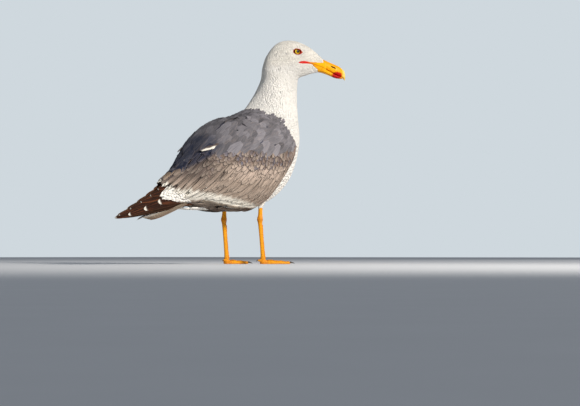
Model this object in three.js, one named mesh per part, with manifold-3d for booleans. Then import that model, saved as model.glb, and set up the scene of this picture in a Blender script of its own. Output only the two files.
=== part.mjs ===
// A yellow-legged gull standing at rest, life size, with its head turned to its right.
// Millimetres. X runs forward, Y to the bird's left and Z up, and the soles stand on Z = 0.
import * as THREE from "three";
import { mergeVertices } from "three/addons/utils/BufferGeometryUtils.js";
import Module from "manifold-3d";

const wasm = await Module();
wasm.setup();

// Driving dimensions.
const gap = 0.35; // clearance between neighbouring pieces
const speck = 0.06; // smaller steps than this are cleared from a cut edge
const weld = 0.004; // corners nearer than this become one
const sharpestFacing = 0.3; // limits how far a sharp edge moves when a solid is grown
const headTurn = THREE.MathUtils.degToRad(-32); // turn of the head about its neck, to the right
const turnAxisX = 78; // the upright axis that the head turns about
const turnStart = 5.5; // rib where the neck begins to turn
const turnEnd = 11; // rib from which the whole turn is reached
// Each leg stands at y; its heel joint and its foot's joint lie at these places along X.
const stance = {
  right: { side: -1, y: -34, heel: -1, foot: 6 },
  left: { side: 1, y: 26, heel: -23, foot: -16.5 },
};

// Ribs from the rump to the bill: the points on the back and belly outlines, the half width,
// the height of the widest place as a share of the rib, and the roundness above and below it.
const ribs = [
  { name: "rump end", back: [-202, 116], belly: [-196, 90], width: 11, widest: 0.5 },
  { name: "tail root", back: [-160, 147], belly: [-150, 87], width: 20, widest: 0.5 },
  { name: "vent", back: [-105, 184], belly: [-95, 87], width: 35, widest: 0.46 },
  { name: "hind back", back: [-50, 227], belly: [-35, 90], width: 47, widest: 0.46 },
  { name: "middle back", back: [-8, 249], belly: [28, 97.5], width: 52, widest: 0.48 },
  { name: "shoulder", back: [17, 259], belly: [78.5, 129], width: 52.5, widest: 0.5 },
  { name: "breast", back: [32, 270], belly: [103, 182], width: 51, widest: 0.52 },
  { name: "neck base", back: [43, 283], belly: [107, 232], width: 44, widest: 0.52 },
  { name: "lower neck", back: [49, 297], belly: [111, 270], width: 35.5, widest: 0.5 },
  { name: "neck", back: [54, 312], belly: [113.5, 297], width: 30, widest: 0.5 },
  { name: "nape", back: [55.5, 330], belly: [116, 311.5], width: 27, widest: 0.5 },
  { name: "hind crown", back: [63, 351.5], belly: [121, 315.5], width: 25.5, widest: 0.5 },
  { name: "crown", back: [81, 372], belly: [131, 319], width: 24.5, widest: 0.5 },
  { name: "eye", back: [106, 376.8], belly: [142, 322.5], width: 22, widest: 0.48 },
  { name: "lores", back: [133, 368.3], belly: [150.5, 324.5], width: 16, widest: 0.48 },
  { name: "bill base", back: [160, 348.8], belly: [159, 326], width: 9, widest: 0.5 },
];
const cuts = { neck: 6.6, head: 10.4, seam: 0.02 }; // ribs where neck and head part, and the slit
const bodyRoundness = 2.25;

// Folded wing, as slices across the bird: the height of its upper edge at the middle of the back,
// its outermost place, the height of its lower edge and the plate's thickness.
const wingSlices = [
  { x: 67, top: 212, bottom: 174, out: 54.5, thick: 3 },
  { x: 58, top: 228, bottom: 150, out: 58.5, thick: 8 },
  { x: 30, top: 243, bottom: 113, out: 62, thick: 12 },
  { x: 0, top: 249, bottom: 88, out: 63, thick: 13 },
  { x: -40, top: 241.5, bottom: 81, out: 64.5, thick: 13 },
  { x: -80, top: 223.5, bottom: 83, out: 61, thick: 12 },
  { x: -120, top: 192.5, bottom: 90, out: 45.5, thick: 10 },
  { x: -158, top: 158, bottom: 100, out: 23, thick: 6 },
  { x: -189, top: 138, bottom: 112, out: 9.5, thick: 2.6 },
];
const wingRoundness = 2.5;

// Shares of the upper and the lower quarter of each slice that the wing covers; from the slice
// climbFrom to climbTo its upper edge rises to the middle of the back.
const wingCover = { front: 0.42, rear: 0.97, lower: 0.62, climbFrom: 1, climbTo: 5 };
// The plate is thinner towards both edges: its share there, and how fast it thickens.
const plateEdge = { share: 0.15, ramp: 4 };

// Primaries: the stack of long flight feathers, as stations of a blade that runs back from under
// the wing. Its lean is how far it tips inwards for each step up.
const primaries = [
  { x: -130, y: 27, z: 108, height: 12, thick: 3.5, lean: 0.3 },
  { x: -165, y: 16, z: 111, height: 20, thick: 4, lean: 0.34 },
  { x: -188, y: 10.5, z: 109.5, height: 21, thick: 4, lean: 0.34 },
  { x: -218, y: 9, z: 96.5, height: 15.5, thick: 3.6, lean: 0.32 },
  { x: -250, y: 6.5, z: 84.8, height: 9, thick: 2.8, lean: 0.25 },
  { x: -282, y: 3.6, z: 75, height: 4, thick: 1.8, lean: 0.1 },
  { x: -296, y: 2.3, z: 71.5, height: 1.2, thick: 0.8, lean: 0 },
];

// Tail: a closed fan of feathers, flat and a little arched across. Its arch is the fall of its
// sides below its middle, and its round is how far its outer corners stay behind its middle.
const tail = {
  root: { x: -168, z: 97, half: 20, thick: 5 },
  tip: { x: -241, z: 70.5, half: 29, thick: 1 },
  arch: 5,
  round: 6,
  rim: 0.2, // share of the thickness left near its sides
};

// Bill: two halves that meet along the line of the mouth, as upright slices of both.
const billSlices = [
  { x: 128, top: 339.5, mouth: 337.5, bottom: 331, half: 7 },
  { x: 143, top: 349, mouth: 336, bottom: 327, half: 8 },
  { x: 157.5, top: 348, mouth: 333, bottom: 324.8, half: 7.6 },
  { x: 170.5, top: 343.2, mouth: 328.2, bottom: 320.8, half: 6 },
  { x: 182.5, top: 338.8, mouth: 322.4, bottom: 316.2, half: 5 },
  { x: 191, top: 335.2, mouth: 319.2, bottom: 315, half: 4.2 },
  { x: 197, top: 330.2, mouth: 316.6, bottom: 315, half: 3.3 },
];
const billRoundness = 2.2;
const billFlat = 0.96; // height share where each half is cut flat along the mouth
const lowerBillEnd = 0.25; // how far before the last slice the lower half ends
// The hooked tip: its foremost place, its point, the depth and the rise of its blunt end behind
// that point, and the share of its width that it loses on the way there.
const hook = { x: 202, z: 321.4, tipX: 201, tipZ: 312.4, depth: 2.2, rise: 1.2, taper: 0.8 };

// Eyes: a ball in each side of the head, with a bare ring of lid round its opening.
const eye = { x: 109, z: 356.8, out: 13.2, radius: 7.6 };
// The ring leans back towards the bill with the side of the head.
const lid = { length: 6.6, height: 5.1, thick: 1.1, out: 19.2, lean: 0.9 };
const socket = { depth: 2.6, reach: 10 }; // the shallow dip of the head round each eye

// Feathered thigh, from its root inside the belly down to where the bare leg begins: how far each
// section lies in front of the heel joint and inwards of the leg, its height and its half widths.
const thighSections = [
  { ahead: 8, inwards: 6, z: 124, deep: 18, wide: 12 },
  { ahead: 5, inwards: 3, z: 112, deep: 14, wide: 11 },
  { ahead: 3, inwards: 1, z: 103, deep: 8.5, wide: 7.5 },
  { ahead: 1.5, inwards: 0, z: 96, deep: 5, wide: 4.4 },
];

// Bare leg, from the end of the tibia over the heel joint and the tarsus down to the foot's
// joint: each section's share of the way from the heel joint to the foot's joint along X, how
// far it lies ahead of that line, its height and its half widths.
const legSections = [
  { along: 0, ahead: 1.5, z: 96 - gap, deep: 3.6, wide: 3.2 },
  { along: 0, ahead: 0.7, z: 81, deep: 3.9, wide: 3.4 },
  { along: 0, ahead: 0, z: 73, deep: 5.4, wide: 4.6 },
  { along: 0, ahead: 0.6, z: 65, deep: 4, wide: 3.1 },
  { along: 0.5, ahead: 0, z: 40.8, deep: 3.6, wide: 2.6 },
  { along: 1, ahead: -0.6, z: 15.5, deep: 3.7, wide: 3 },
  { along: 1, ahead: 0, z: 8.5, deep: 4.4, wide: 4.2 },
];

// Foot: three webbed front toes that lie flat, a pad under the joint and a small hind toe.
const toes = {
  inner: { angle: 27, length: 38 },
  middle: { angle: -4, length: 50 },
  outer: { angle: -36, length: 46 },
};
// A toe's height and half width at its root and tip, how fast it thins, the swellings at its
// joints, the share of it left at its blunt end and the share of its height that lies level.
const toeSize = {
  rootHeight: 8,
  tipHeight: 4.2,
  rootHalf: 3.6,
  tipHalf: 2.1,
  thinning: 0.7,
  joints: 3,
  swelling: 0.08,
  end: 0.55,
  level: 0.35,
};
// The ball under the joint, which stands on a flat of radius sole.
const pad = { radius: 6, sole: 5, flattening: 0.85, ahead: 0.5 };
// The web reaches along this share of each toe, and its edge dips in by this share of it.
const web = { thick: 1.4, reach: 0.9, dip: 0.24, ahead: 1, behind: 2 };
const hindToe = { angle: 168, length: 10, rise: 6, rootHalf: 2.6, tipHalf: 1.5, end: 0.6 };
// A claw leaves the toe at its rise, and its point is lower by the drop.
const claw = { length: 8, half: 1.8, rise: 2.75, drop: 1.9, taper: 0.85, narrow: 0.75 };
const hindClaw = { length: 4, half: 1.2, rise: 6.15, drop: 2.1, taper: 0.85, narrow: 0.75 };

const colours = {
  white: 0xf2efe9,
  mantle: 0x8f8d90,
  black: 0x2a211d,
  bill: 0xf0a41c,
  leg: 0xeda62e,
  claw: 0x2b2521,
  iris: 0xe6c956,
  lid: 0xd0341c,
};

function material(colour, roughness) {
  return new THREE.MeshStandardMaterial({ color: colour, roughness, metalness: 0 });
}

// Corners of a fan about a hub that closes one end of a skin, and of a strip that closes the end
// of a curved plate, whose rows run out along one face and back along the other.
function fanCorners(row, sides, hub) {
  const corners = [];
  for (let j = 0; j < sides; j += 1) {
    corners.push([hub, row * sides + j, row * sides + ((j + 1) % sides)]);
  }
  return corners;
}

function stripCorners(row, sides) {
  const corners = [];
  for (let j = 0; j < sides / 2 - 1; j += 1) {
    const [a, b] = [row * sides + j, row * sides + j + 1];
    const [c, d] = [row * sides + sides - 2 - j, row * sides + sides - 1 - j];
    corners.push([a, b, c], [a, c, d]);
  }
  return corners;
}

// Rows of points, all of one length, become a closed skin with a cap at each end.
function loftGeometry(rows, plate = false) {
  const sides = rows[0].length;
  const positions = [];
  const index = [];
  rows.flat().forEach((p) => positions.push(p.x, p.y, p.z));
  for (let i = 0; i < rows.length - 1; i += 1) {
    for (let j = 0; j < sides; j += 1) {
      const a = i * sides + j;
      const b = i * sides + ((j + 1) % sides);
      index.push(a, a + sides, b, b, a + sides, b + sides);
    }
  }
  [0, rows.length - 1].forEach((row) => {
    const centre = new THREE.Vector3();
    rows[row].forEach((p) => centre.addScaledVector(p, 1 / sides));
    const hub = positions.length / 3;
    if (!plate) positions.push(centre.x, centre.y, centre.z);
    const corners = plate ? stripCorners(row, sides) : fanCorners(row, sides, hub);
    corners.forEach(([a, b, c]) => index.push(...(row === 0 ? [a, b, c] : [a, c, b])));
  });
  const geometry = new THREE.BufferGeometry();
  geometry.setAttribute("position", new THREE.Float32BufferAttribute(positions, 3));
  geometry.setIndex(index);
  return geometry;
}

// Rows that close on themselves both ways, as a ring does.
function ringGeometry(rows) {
  const sides = rows[0].length;
  const positions = rows.flat().flatMap((p) => [p.x, p.y, p.z]);
  const index = [];
  rows.forEach((row, i) => {
    for (let j = 0; j < sides; j += 1) {
      const next = ((i + 1) % rows.length) * sides;
      const a = i * sides + j;
      const b = i * sides + ((j + 1) % sides);
      const c = next + j;
      const d = next + ((j + 1) % sides);
      index.push(a, c, b, b, c, d);
    }
  });
  const geometry = new THREE.BufferGeometry();
  geometry.setAttribute("position", new THREE.Float32BufferAttribute(positions, 3));
  geometry.setIndex(index);
  return geometry;
}

// A geometry as a solid, turned inside out if its faces point inwards.
function solidOf(geometry) {
  const bare = new THREE.BufferGeometry();
  bare.setAttribute("position", geometry.getAttribute("position"));
  bare.setIndex(geometry.index);
  const merged = mergeVertices(bare, weld);
  const solid = new wasm.Manifold(
    new wasm.Mesh({
      numProp: 3,
      vertProperties: merged.attributes.position.array,
      triVerts: new Uint32Array(merged.index.array),
    }),
  );
  if (solid.volume() > 0) return solid;
  const turned = new Uint32Array(merged.index.array).reverse();
  return new wasm.Manifold(
    new wasm.Mesh({
      numProp: 3,
      vertProperties: merged.attributes.position.array,
      triVerts: turned,
    }),
  );
}

// A solid as a geometry.
function geometryOf(solid) {
  const mesh = solid.getMesh();
  const geometry = new THREE.BufferGeometry();
  geometry.setAttribute("position", new THREE.BufferAttribute(mesh.vertProperties, 3));
  geometry.setIndex(new THREE.BufferAttribute(mesh.triVerts, 1));
  return geometry;
}

// The same solid with its skin moved out, used to cut a neighbour with clearance. Each corner
// moves along the mean of the faces round it, weighted by their angles there, and on a sharp
// edge it moves further, so that each of those faces moves by the whole distance.
function grown(solid, distance = gap) {
  const geometry = geometryOf(solid);
  const { position } = geometry.attributes;
  const index = geometry.index;
  const face = new THREE.Triangle();
  const points = [face.a, face.b, face.c];
  const visits = [];
  const means = Array.from({ length: position.count }, () => new THREE.Vector3());
  for (let i = 0; i < index.count; i += 3) {
    const corners = [index.getX(i), index.getX(i + 1), index.getX(i + 2)];
    face.setFromAttributeAndIndices(position, ...corners);
    const normal = face.getNormal(new THREE.Vector3());
    corners.forEach((corner, k) => {
      const one = points[(k + 1) % 3].clone().sub(points[k]);
      const other = points[(k + 2) % 3].clone().sub(points[k]);
      means[corner].addScaledVector(normal, one.angleTo(other));
      visits.push({ corner, normal });
    });
  }
  means.forEach((mean) => mean.normalize());
  const leastFacing = new Array(position.count).fill(1);
  visits.forEach(({ corner, normal }) => {
    leastFacing[corner] = Math.min(leastFacing[corner], means[corner].dot(normal));
  });
  means.forEach((mean, i) => {
    const reach = distance / Math.max(leastFacing[i], sharpestFacing);
    const moved = new THREE.Vector3().fromBufferAttribute(position, i).addScaledVector(mean, reach);
    position.setXYZ(i, moved.x, moved.y, moved.z);
  });
  return solidOf(geometry);
}

// The largest of a solid's separate bodies.
function largestBody(solid) {
  const bodies = solid.decompose();
  return bodies.reduce((best, body) => (body.volume() > best.volume() ? body : best));
}

// The solid cut back with clearance from each neighbour, without loose chips.
function cutBy(solid, neighbours) {
  const rest = neighbours.reduce((left, neighbour) => left.subtract(grown(neighbour)), solid);
  return largestBody(solidOf(geometryOf(rest.simplify(speck))));
}

// A value that runs smoothly through a list of numbers, with one unit of t to each.
function smoothThrough(values) {
  const curve = new THREE.CatmullRomCurve3(
    values.map((v) => new THREE.Vector3(v, 0, 0)),
    false,
    "catmullrom",
    0.5,
  );
  return (t) => curve.getPoint(THREE.MathUtils.clamp(t / (values.length - 1), 0, 1)).x;
}

// One point of a rounded outline: |y / a|^n + |z / b|^n = 1.
function roundedPoint(angle, halfWidth, halfHeight, roundness) {
  const c = Math.cos(angle);
  const s = Math.sin(angle);
  return [
    halfWidth * Math.sign(c) * Math.abs(c) ** (2 / roundness),
    halfHeight * Math.sign(s) * Math.abs(s) ** (2 / roundness),
  ];
}

// A place on the straight head, turned with the neck.
function turnedHead(point, share = 1) {
  const angle = headTurn * share;
  const dx = point.x - turnAxisX;
  return new THREE.Vector3(
    turnAxisX + dx * Math.cos(angle) - point.y * Math.sin(angle),
    dx * Math.sin(angle) + point.y * Math.cos(angle),
    point.z,
  );
}

const backX = smoothThrough(ribs.map((r) => r.back[0]));
const backZ = smoothThrough(ribs.map((r) => r.back[1]));
const bellyX = smoothThrough(ribs.map((r) => r.belly[0]));
const bellyZ = smoothThrough(ribs.map((r) => r.belly[1]));
const ribWidth = smoothThrough(ribs.map((r) => r.width));
const ribWidest = smoothThrough(ribs.map((r) => r.widest));

// One section of the body at rib t, turned with the neck.
function bodyRow(t) {
  const sides = 24;
  const turn = THREE.MathUtils.smoothstep(t, turnStart, turnEnd);
  const row = [];
  for (let j = 0; j < sides; j += 1) {
    const angle = (2 * Math.PI * j) / sides;
    const [y, lift] = roundedPoint(angle, ribWidth(t), 1, bodyRoundness);
    const widest = ribWidest(t);
    const share = lift > 0 ? widest + lift * (1 - widest) : widest + lift * widest;
    const point = new THREE.Vector3(
      THREE.MathUtils.lerp(bellyX(t), backX(t), share),
      y,
      THREE.MathUtils.lerp(bellyZ(t), backZ(t), share),
    );
    const away = Math.hypot(point.x - eye.x, point.z - eye.z) / socket.reach;
    point.y -= Math.sign(point.y) * socket.depth * Math.exp(-away * away);
    row.push(turnedHead(point, turn));
  }
  return row;
}

// A length of the body between two ribs.
function bodyLength(from, to, steps) {
  const rows = [];
  for (let i = 0; i <= steps; i += 1) rows.push(bodyRow(from + ((to - from) * i) / steps));
  return solidOf(loftGeometry(rows));
}

// Folded wing: a curved plate that hugs the flank, from its lower edge up over the back.
const sliceTop = smoothThrough(wingSlices.map((s) => s.top));
const sliceBottom = smoothThrough(wingSlices.map((s) => s.bottom));
const sliceOut = smoothThrough(wingSlices.map((s) => s.out));
const sliceThick = smoothThrough(wingSlices.map((s) => s.thick));
const sliceX = smoothThrough(wingSlices.map((s) => s.x));

// A point on the wing's outer face, or on its inner face by inset, on the right side.
function wingPoint(t, share, inset) {
  const middle = (sliceTop(t) + sliceBottom(t)) / 2;
  const half = (sliceTop(t) - sliceBottom(t)) / 2;
  const climb = THREE.MathUtils.smoothstep(t, wingCover.climbFrom, wingCover.climbTo);
  const upper = THREE.MathUtils.lerp(wingCover.front, wingCover.rear, climb) * (Math.PI / 2);
  const lower = -wingCover.lower * (Math.PI / 2);
  const angle = THREE.MathUtils.lerp(lower, upper, share);
  const [y, z] = roundedPoint(angle, sliceOut(t) - inset, half - inset, wingRoundness);
  return new THREE.Vector3(sliceX(t), -y, middle + z);
}

// One slice of the wing, up its outer face and down its inner face.
function wingRow(t) {
  const facets = 9;
  const row = [];
  for (let j = 0; j <= facets; j += 1) row.push(wingPoint(t, j / facets, 0));
  for (let j = facets; j >= 0; j -= 1) {
    const share = j / facets;
    const edge = Math.min(1, plateEdge.ramp * Math.min(share, 1 - share) + plateEdge.share);
    row.push(wingPoint(t, share, sliceThick(t) * edge));
  }
  return row;
}

// The right wing.
function wingSolid() {
  const rows = [];
  const steps = 13;
  for (let i = 0; i <= steps; i += 1) rows.push(wingRow((i / steps) * (wingSlices.length - 1)));
  return solidOf(loftGeometry(rows, true));
}

// The primaries of the right wing.
function primariesSolid() {
  const centre = ["x", "y", "z", "height", "thick", "lean"].map((key) =>
    smoothThrough(primaries.map((station) => station[key])),
  );
  const rows = [];
  const steps = 11;
  const facets = 8;
  for (let i = 0; i <= steps; i += 1) {
    const t = (i / steps) * (primaries.length - 1);
    const [x, y, z, height, thick, lean] = centre.map((value) => value(t));
    const row = [];
    for (let j = 0; j < facets; j += 1) {
      const [dy, dz] = roundedPoint((2 * Math.PI * j) / facets, thick, height, 2);
      row.push(new THREE.Vector3(x, -(y + dy - lean * dz), z + dz));
    }
    rows.push(row);
  }
  return solidOf(loftGeometry(rows));
}

// The tail is an arched plate: its rows run across above and back again below.
function tailSolid() {
  const rows = [];
  const steps = 5;
  const facets = 8;
  for (let i = 0; i <= steps; i += 1) {
    const share = i / steps;
    const between = (key) => THREE.MathUtils.lerp(tail.root[key], tail.tip[key], share);
    const row = [];
    for (let j = 0; j < 2 * facets; j += 1) {
      const across = j <= facets ? (2 * j) / facets - 1 : 3 - (2 * j) / facets;
      const middle = Math.sqrt(Math.max(0, 1 - across * across));
      const thick = between("thick") * THREE.MathUtils.lerp(tail.rim, 1, middle);
      const onEdge = j === 0 || j === facets;
      const lift = onEdge ? 0 : (j < facets ? thick : -thick) / 2;
      const x = between("x") + tail.round * share * across * across;
      const z = between("z") - tail.arch * across * across + lift;
      row.push(new THREE.Vector3(x, across * between("half"), z));
    }
    rows.push(row);
  }
  return solidOf(loftGeometry(rows));
}

// One half of the bill, from inside the head to its tip.
function billHalf(upper) {
  const value = (key) => smoothThrough(billSlices.map((slice) => slice[key]));
  const [x, top, mouth, bottom, half] = ["x", "top", "mouth", "bottom", "half"].map(value);
  const rows = [];
  const steps = 9;
  const facets = 10;
  const last = billSlices.length - 1 - (upper ? 0 : lowerBillEnd);
  for (let i = 0; i <= steps; i += 1) {
    const t = (i / steps) * last;
    const high = upper ? top(t) : mouth(t) - gap;
    const low = upper ? mouth(t) : bottom(t);
    const row = [];
    for (let j = 0; j < facets; j += 1) {
      const angle = (2 * Math.PI * j) / facets;
      const [y, z] = roundedPoint(angle, half(t), 1, billRoundness);
      const rise = upper ? Math.max(z, -billFlat) + billFlat : Math.min(z, billFlat) + 1;
      row.push(new THREE.Vector3(x(t), y, THREE.MathUtils.lerp(low, high, rise / (1 + billFlat))));
    }
    rows.push(row);
  }
  if (upper) rows.push(...hookRows(facets));
  return solidOf(loftGeometry(rows.map((row) => row.map((point) => turnedHead(point)))));
}

// The hooked tip turns the last slices down over the lower half.
function hookRows(facets) {
  const start = billSlices[billSlices.length - 1];
  const rows = [];
  const steps = 4;
  for (let i = 1; i <= steps; i += 1) {
    const share = i / steps;
    const bend = share * (Math.PI / 2);
    const frontX = THREE.MathUtils.lerp(start.x, hook.x, Math.sin(bend));
    const frontZ = THREE.MathUtils.lerp(hook.z, start.top, Math.cos(bend));
    const rearX = THREE.MathUtils.lerp(start.x, hook.tipX - hook.depth, share);
    const rearZ = THREE.MathUtils.lerp(start.mouth, hook.tipZ + hook.rise, share);
    const half = start.half * (1 - hook.taper * share * share);
    const endX = THREE.MathUtils.lerp(frontX, hook.tipX, share * share);
    const endZ = THREE.MathUtils.lerp(frontZ, hook.tipZ, share * share);
    const row = [];
    for (let j = 0; j < facets; j += 1) {
      const angle = (2 * Math.PI * j) / facets;
      const [y, z] = roundedPoint(angle, half, 1, billRoundness);
      const across = (z + 1) / 2;
      row.push(
        new THREE.Vector3(
          THREE.MathUtils.lerp(rearX, endX, across),
          y,
          THREE.MathUtils.lerp(rearZ, endZ, across),
        ),
      );
    }
    rows.push(row);
  }
  return rows;
}

// The eyeball on one side.
function eyeSolid(side) {
  const ball = new THREE.SphereGeometry(eye.radius, 12, 8);
  const centre = turnedHead(new THREE.Vector3(eye.x, side * eye.out, eye.z));
  ball.translate(centre.x, centre.y, centre.z);
  return solidOf(ball);
}

// The ring of lid on one side.
function lidSolid(side) {
  const rows = [];
  const steps = 14;
  const facets = 4;
  for (let i = 0; i < steps; i += 1) {
    const turn = (2 * Math.PI * i) / steps;
    const row = [];
    for (let j = 0; j < facets; j += 1) {
      const around = (2 * Math.PI * j) / facets;
      const reach = lid.thick * Math.cos(around);
      const point = new THREE.Vector3(
        eye.x + (lid.length + reach) * Math.cos(turn),
        side * (lid.out + lid.thick * Math.sin(around) - lid.lean * Math.cos(turn)),
        eye.z + (lid.height + reach) * Math.sin(turn),
      );
      row.push(turnedHead(point));
    }
    rows.push(row);
  }
  return solidOf(ringGeometry(rows));
}

// A limb along a list of stations, each with its place and its two half widths.
function limbSolid(stations, steps, facets = 8) {
  const value = (key) => smoothThrough(stations.map((station) => station[key]));
  const [x, y, z, deep, wide] = ["x", "y", "z", "deep", "wide"].map(value);
  const rows = [];
  for (let i = 0; i <= steps; i += 1) {
    const t = (i / steps) * (stations.length - 1);
    const row = [];
    for (let j = 0; j < facets; j += 1) {
      const [across, along] = roundedPoint((2 * Math.PI * j) / facets, wide(t), deep(t), 2);
      row.push(new THREE.Vector3(x(t) + along, y(t) + across, z(t)));
    }
    rows.push(row);
  }
  return solidOf(loftGeometry(rows));
}

// The feathered thigh of one leg.
function thighSolid({ side, y, heel }) {
  const steps = 5;
  const facets = 10;
  const stations = thighSections.map(({ ahead, inwards, z, deep, wide }) => ({
    x: heel + ahead,
    y: y - side * inwards,
    z,
    deep,
    wide,
  }));
  return limbSolid(stations, steps, facets);
}

// The bare part of one leg.
function legSolid({ y, heel, foot }) {
  const steps = 12;
  const stations = legSections.map(({ along, ahead, z, deep, wide }) => ({
    x: THREE.MathUtils.lerp(heel, foot, along) + ahead,
    y,
    z,
    deep,
    wide,
  }));
  return limbSolid(stations, steps);
}

// The outer toe points away from the body, so the angles are mirrored from side to side.
function toeDirection(side, degrees) {
  const angle = THREE.MathUtils.degToRad(degrees) * -side;
  return new THREE.Vector3(Math.cos(angle), Math.sin(angle), 0);
}

// A straight row of sections from start along direction: section(share) gives each one's
// half width and a function of the angle for its height.
function spurSolid(start, direction, length, steps, facets, section) {
  const across = new THREE.Vector3(-direction.y, direction.x, 0);
  const rows = [];
  for (let i = 0; i <= steps; i += 1) {
    const share = i / steps;
    const { half, height } = section(share);
    const row = [];
    for (let j = 0; j < facets; j += 1) {
      const angle = (2 * Math.PI * j) / facets;
      const point = start.clone().addScaledVector(direction, share * length);
      point.addScaledVector(across, half * Math.cos(angle));
      point.z += height(Math.sin(angle));
      row.push(point);
    }
    rows.push(row);
  }
  return solidOf(loftGeometry(rows));
}

// A front toe, flat below, with its joints showing.
function toeSolid(start, side, toe) {
  return spurSolid(start, toeDirection(side, toe.angle), toe.length, 5, 7, (share) => {
    const joints = Math.cos(2 * Math.PI * toeSize.joints * share);
    const swell = share === 1 ? toeSize.end : 1 + toeSize.swelling * joints;
    const thinned = share ** toeSize.thinning;
    const tall = THREE.MathUtils.lerp(toeSize.rootHeight, toeSize.tipHeight, thinned);
    const half = THREE.MathUtils.lerp(toeSize.rootHalf, toeSize.tipHalf, share);
    return {
      half: half * swell,
      height: (lift) => tall * swell * Math.max(0, THREE.MathUtils.lerp(toeSize.level, 1, lift)),
    };
  });
}

// The small hind toe, which hangs clear of the ground.
function hindToeSolid(start, side) {
  return spurSolid(start, toeDirection(side, hindToe.angle), hindToe.length, 3, 6, (share) => {
    const end = share === 1 ? hindToe.end : 1;
    const half = THREE.MathUtils.lerp(hindToe.rootHalf, hindToe.tipHalf, share) * end;
    return { half, height: (lift) => hindToe.rise + half * lift };
  });
}

// A claw: a tapered hook that leaves the toe's end and points down at its tip.
function clawSolid(start, direction, shape) {
  return spurSolid(start, direction, shape.length, 4, 6, (share) => {
    const half = shape.half * (1 - shape.taper * share);
    return {
      half: shape.narrow * half,
      height: (lift) => shape.rise - shape.drop * share * share + half * lift,
    };
  });
}

// The web between the front toes.
function webSolid(start, side) {
  const origin = new THREE.Vector2(start.x + web.ahead, start.y);
  const outline = new THREE.Shape();
  outline.moveTo(origin.x - web.behind, origin.y);
  const tips = ["outer", "middle", "inner"].map((key) => {
    const direction = toeDirection(side, toes[key].angle);
    const reach = toes[key].length * web.reach;
    return origin.clone().add(new THREE.Vector2(direction.x, direction.y).multiplyScalar(reach));
  });
  outline.lineTo(tips[0].x, tips[0].y);
  [1, 2].forEach((i) => {
    const bend = tips[i - 1].clone().add(tips[i]).multiplyScalar(0.5).lerp(origin, web.dip);
    outline.quadraticCurveTo(bend.x, bend.y, tips[i].x, tips[i].y);
  });
  outline.closePath();
  const plate = { depth: web.thick, bevelEnabled: false, curveSegments: 4 };
  return solidOf(new THREE.ExtrudeGeometry(outline, plate));
}

// The ball under the foot's joint.
function padSolid(start) {
  const rounded = new THREE.SphereGeometry(pad.radius, 10, 6);
  rounded.rotateX(Math.PI / 2);
  rounded.scale(1, pad.flattening, 1);
  const centreHeight = Math.sqrt(pad.radius ** 2 - pad.sole ** 2);
  rounded.translate(start.x + pad.ahead, start.y, centreHeight);
  return solidOf(rounded);
}

// The whole foot, cut back where the leg enters it.
function footSolid({ side, y, foot }, leg) {
  const start = new THREE.Vector3(foot, y, 0);
  const pieces = [
    ...Object.values(toes).map((toe) => toeSolid(start, side, toe)),
    webSolid(start, side),
    padSolid(start),
    hindToeSolid(start, side),
  ];
  const whole = pieces.reduce((sum, piece) => sum.add(piece));
  return cutBy(whole.trimByPlane([0, 0, 1], 0), [leg]);
}

function mirrored(solid) {
  return solid.mirror([0, 1, 0]);
}

// The whole bird: each piece is cut back where a harder or outer piece meets it.
const solids = {};
const looks = {};

function add(name, solid, colour, roughness) {
  solids[name] = solid;
  looks[name] = material(colour, roughness);
}

const billUpper = billHalf(true);
const billLower = billHalf(false);
const eyes = { right: eyeSolid(-1), left: eyeSolid(1) };
const lids = { right: lidSolid(-1), left: lidSolid(1) };
const wings = { right: wingSolid() };
wings.left = mirrored(wings.right);
const blades = { right: cutBy(primariesSolid(), [wings.right]) };
blades.left = mirrored(blades.right);
const wholeBlade = primariesSolid();
const covers = [wings.right, wings.left, wholeBlade, mirrored(wholeBlade)];

const trunk = cutBy(bodyLength(0, cuts.neck - cuts.seam, 15), covers);
const neck = bodyLength(cuts.neck, cuts.head - cuts.seam, 8);
const face = bodyLength(cuts.head, ribs.length - 1, 11);
const head = cutBy(face, [billUpper, billLower, lids.right, lids.left, eyes.right, eyes.left]);

add("head", head, colours.white, 0.9);
add("neck", neck, colours.white, 0.9);
add("trunk", trunk, colours.white, 0.9);
add("tail", cutBy(tailSolid(), [trunk, ...covers]), colours.white, 0.85);
add("bill_upper", billUpper, colours.bill, 0.35);
add("bill_lower", billLower, colours.bill, 0.35);

Object.entries(stance).forEach(([name, place]) => {
  const leg = legSolid(place);
  add(`wing_${name}`, wings[name], colours.mantle, 0.85);
  add(`primaries_${name}`, blades[name], colours.black, 0.6);
  add(`eye_${name}`, eyes[name], colours.iris, 0.1);
  add(`eyelid_${name}`, cutBy(lids[name], [eyes[name]]), colours.lid, 0.5);
  add(`thigh_${name}`, cutBy(thighSolid(place), [trunk, ...covers]), colours.white, 0.9);
  add(`leg_${name}`, leg, colours.leg, 0.55);
  add(`foot_${name}`, footSolid(place, leg), colours.leg, 0.55);
  const fan = { ...toes, hind: hindToe };
  Object.entries(fan).forEach(([toeName, toe]) => {
    const direction = toeDirection(place.side, toe.angle);
    const start = new THREE.Vector3(place.foot, place.y, 0);
    start.addScaledVector(direction, toe.length + gap);
    const shape = toeName === "hind" ? hindClaw : claw;
    add(`claw_${toeName}_${name}`, clawSolid(start, direction, shape), colours.claw, 0.3);
  });
});

const gull = new THREE.Group();
Object.entries(solids).forEach(([name, solid]) => {
  const mesh = new THREE.Mesh(geometryOf(solid), looks[name]);
  mesh.name = name;
  gull.add(mesh);
});

// The origin is the middle of the underside of the model's box.
const box = new THREE.Box3().setFromObject(gull);
const middle = box.getCenter(new THREE.Vector3());
gull.position.set(-middle.x, -middle.y, -box.min.z);

export default gull;
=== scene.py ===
import math

import bmesh
import bpy
import numpy as np
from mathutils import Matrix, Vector
from mathutils.bvhtree import BVHTree
from mathutils.kdtree import KDTree


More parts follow.
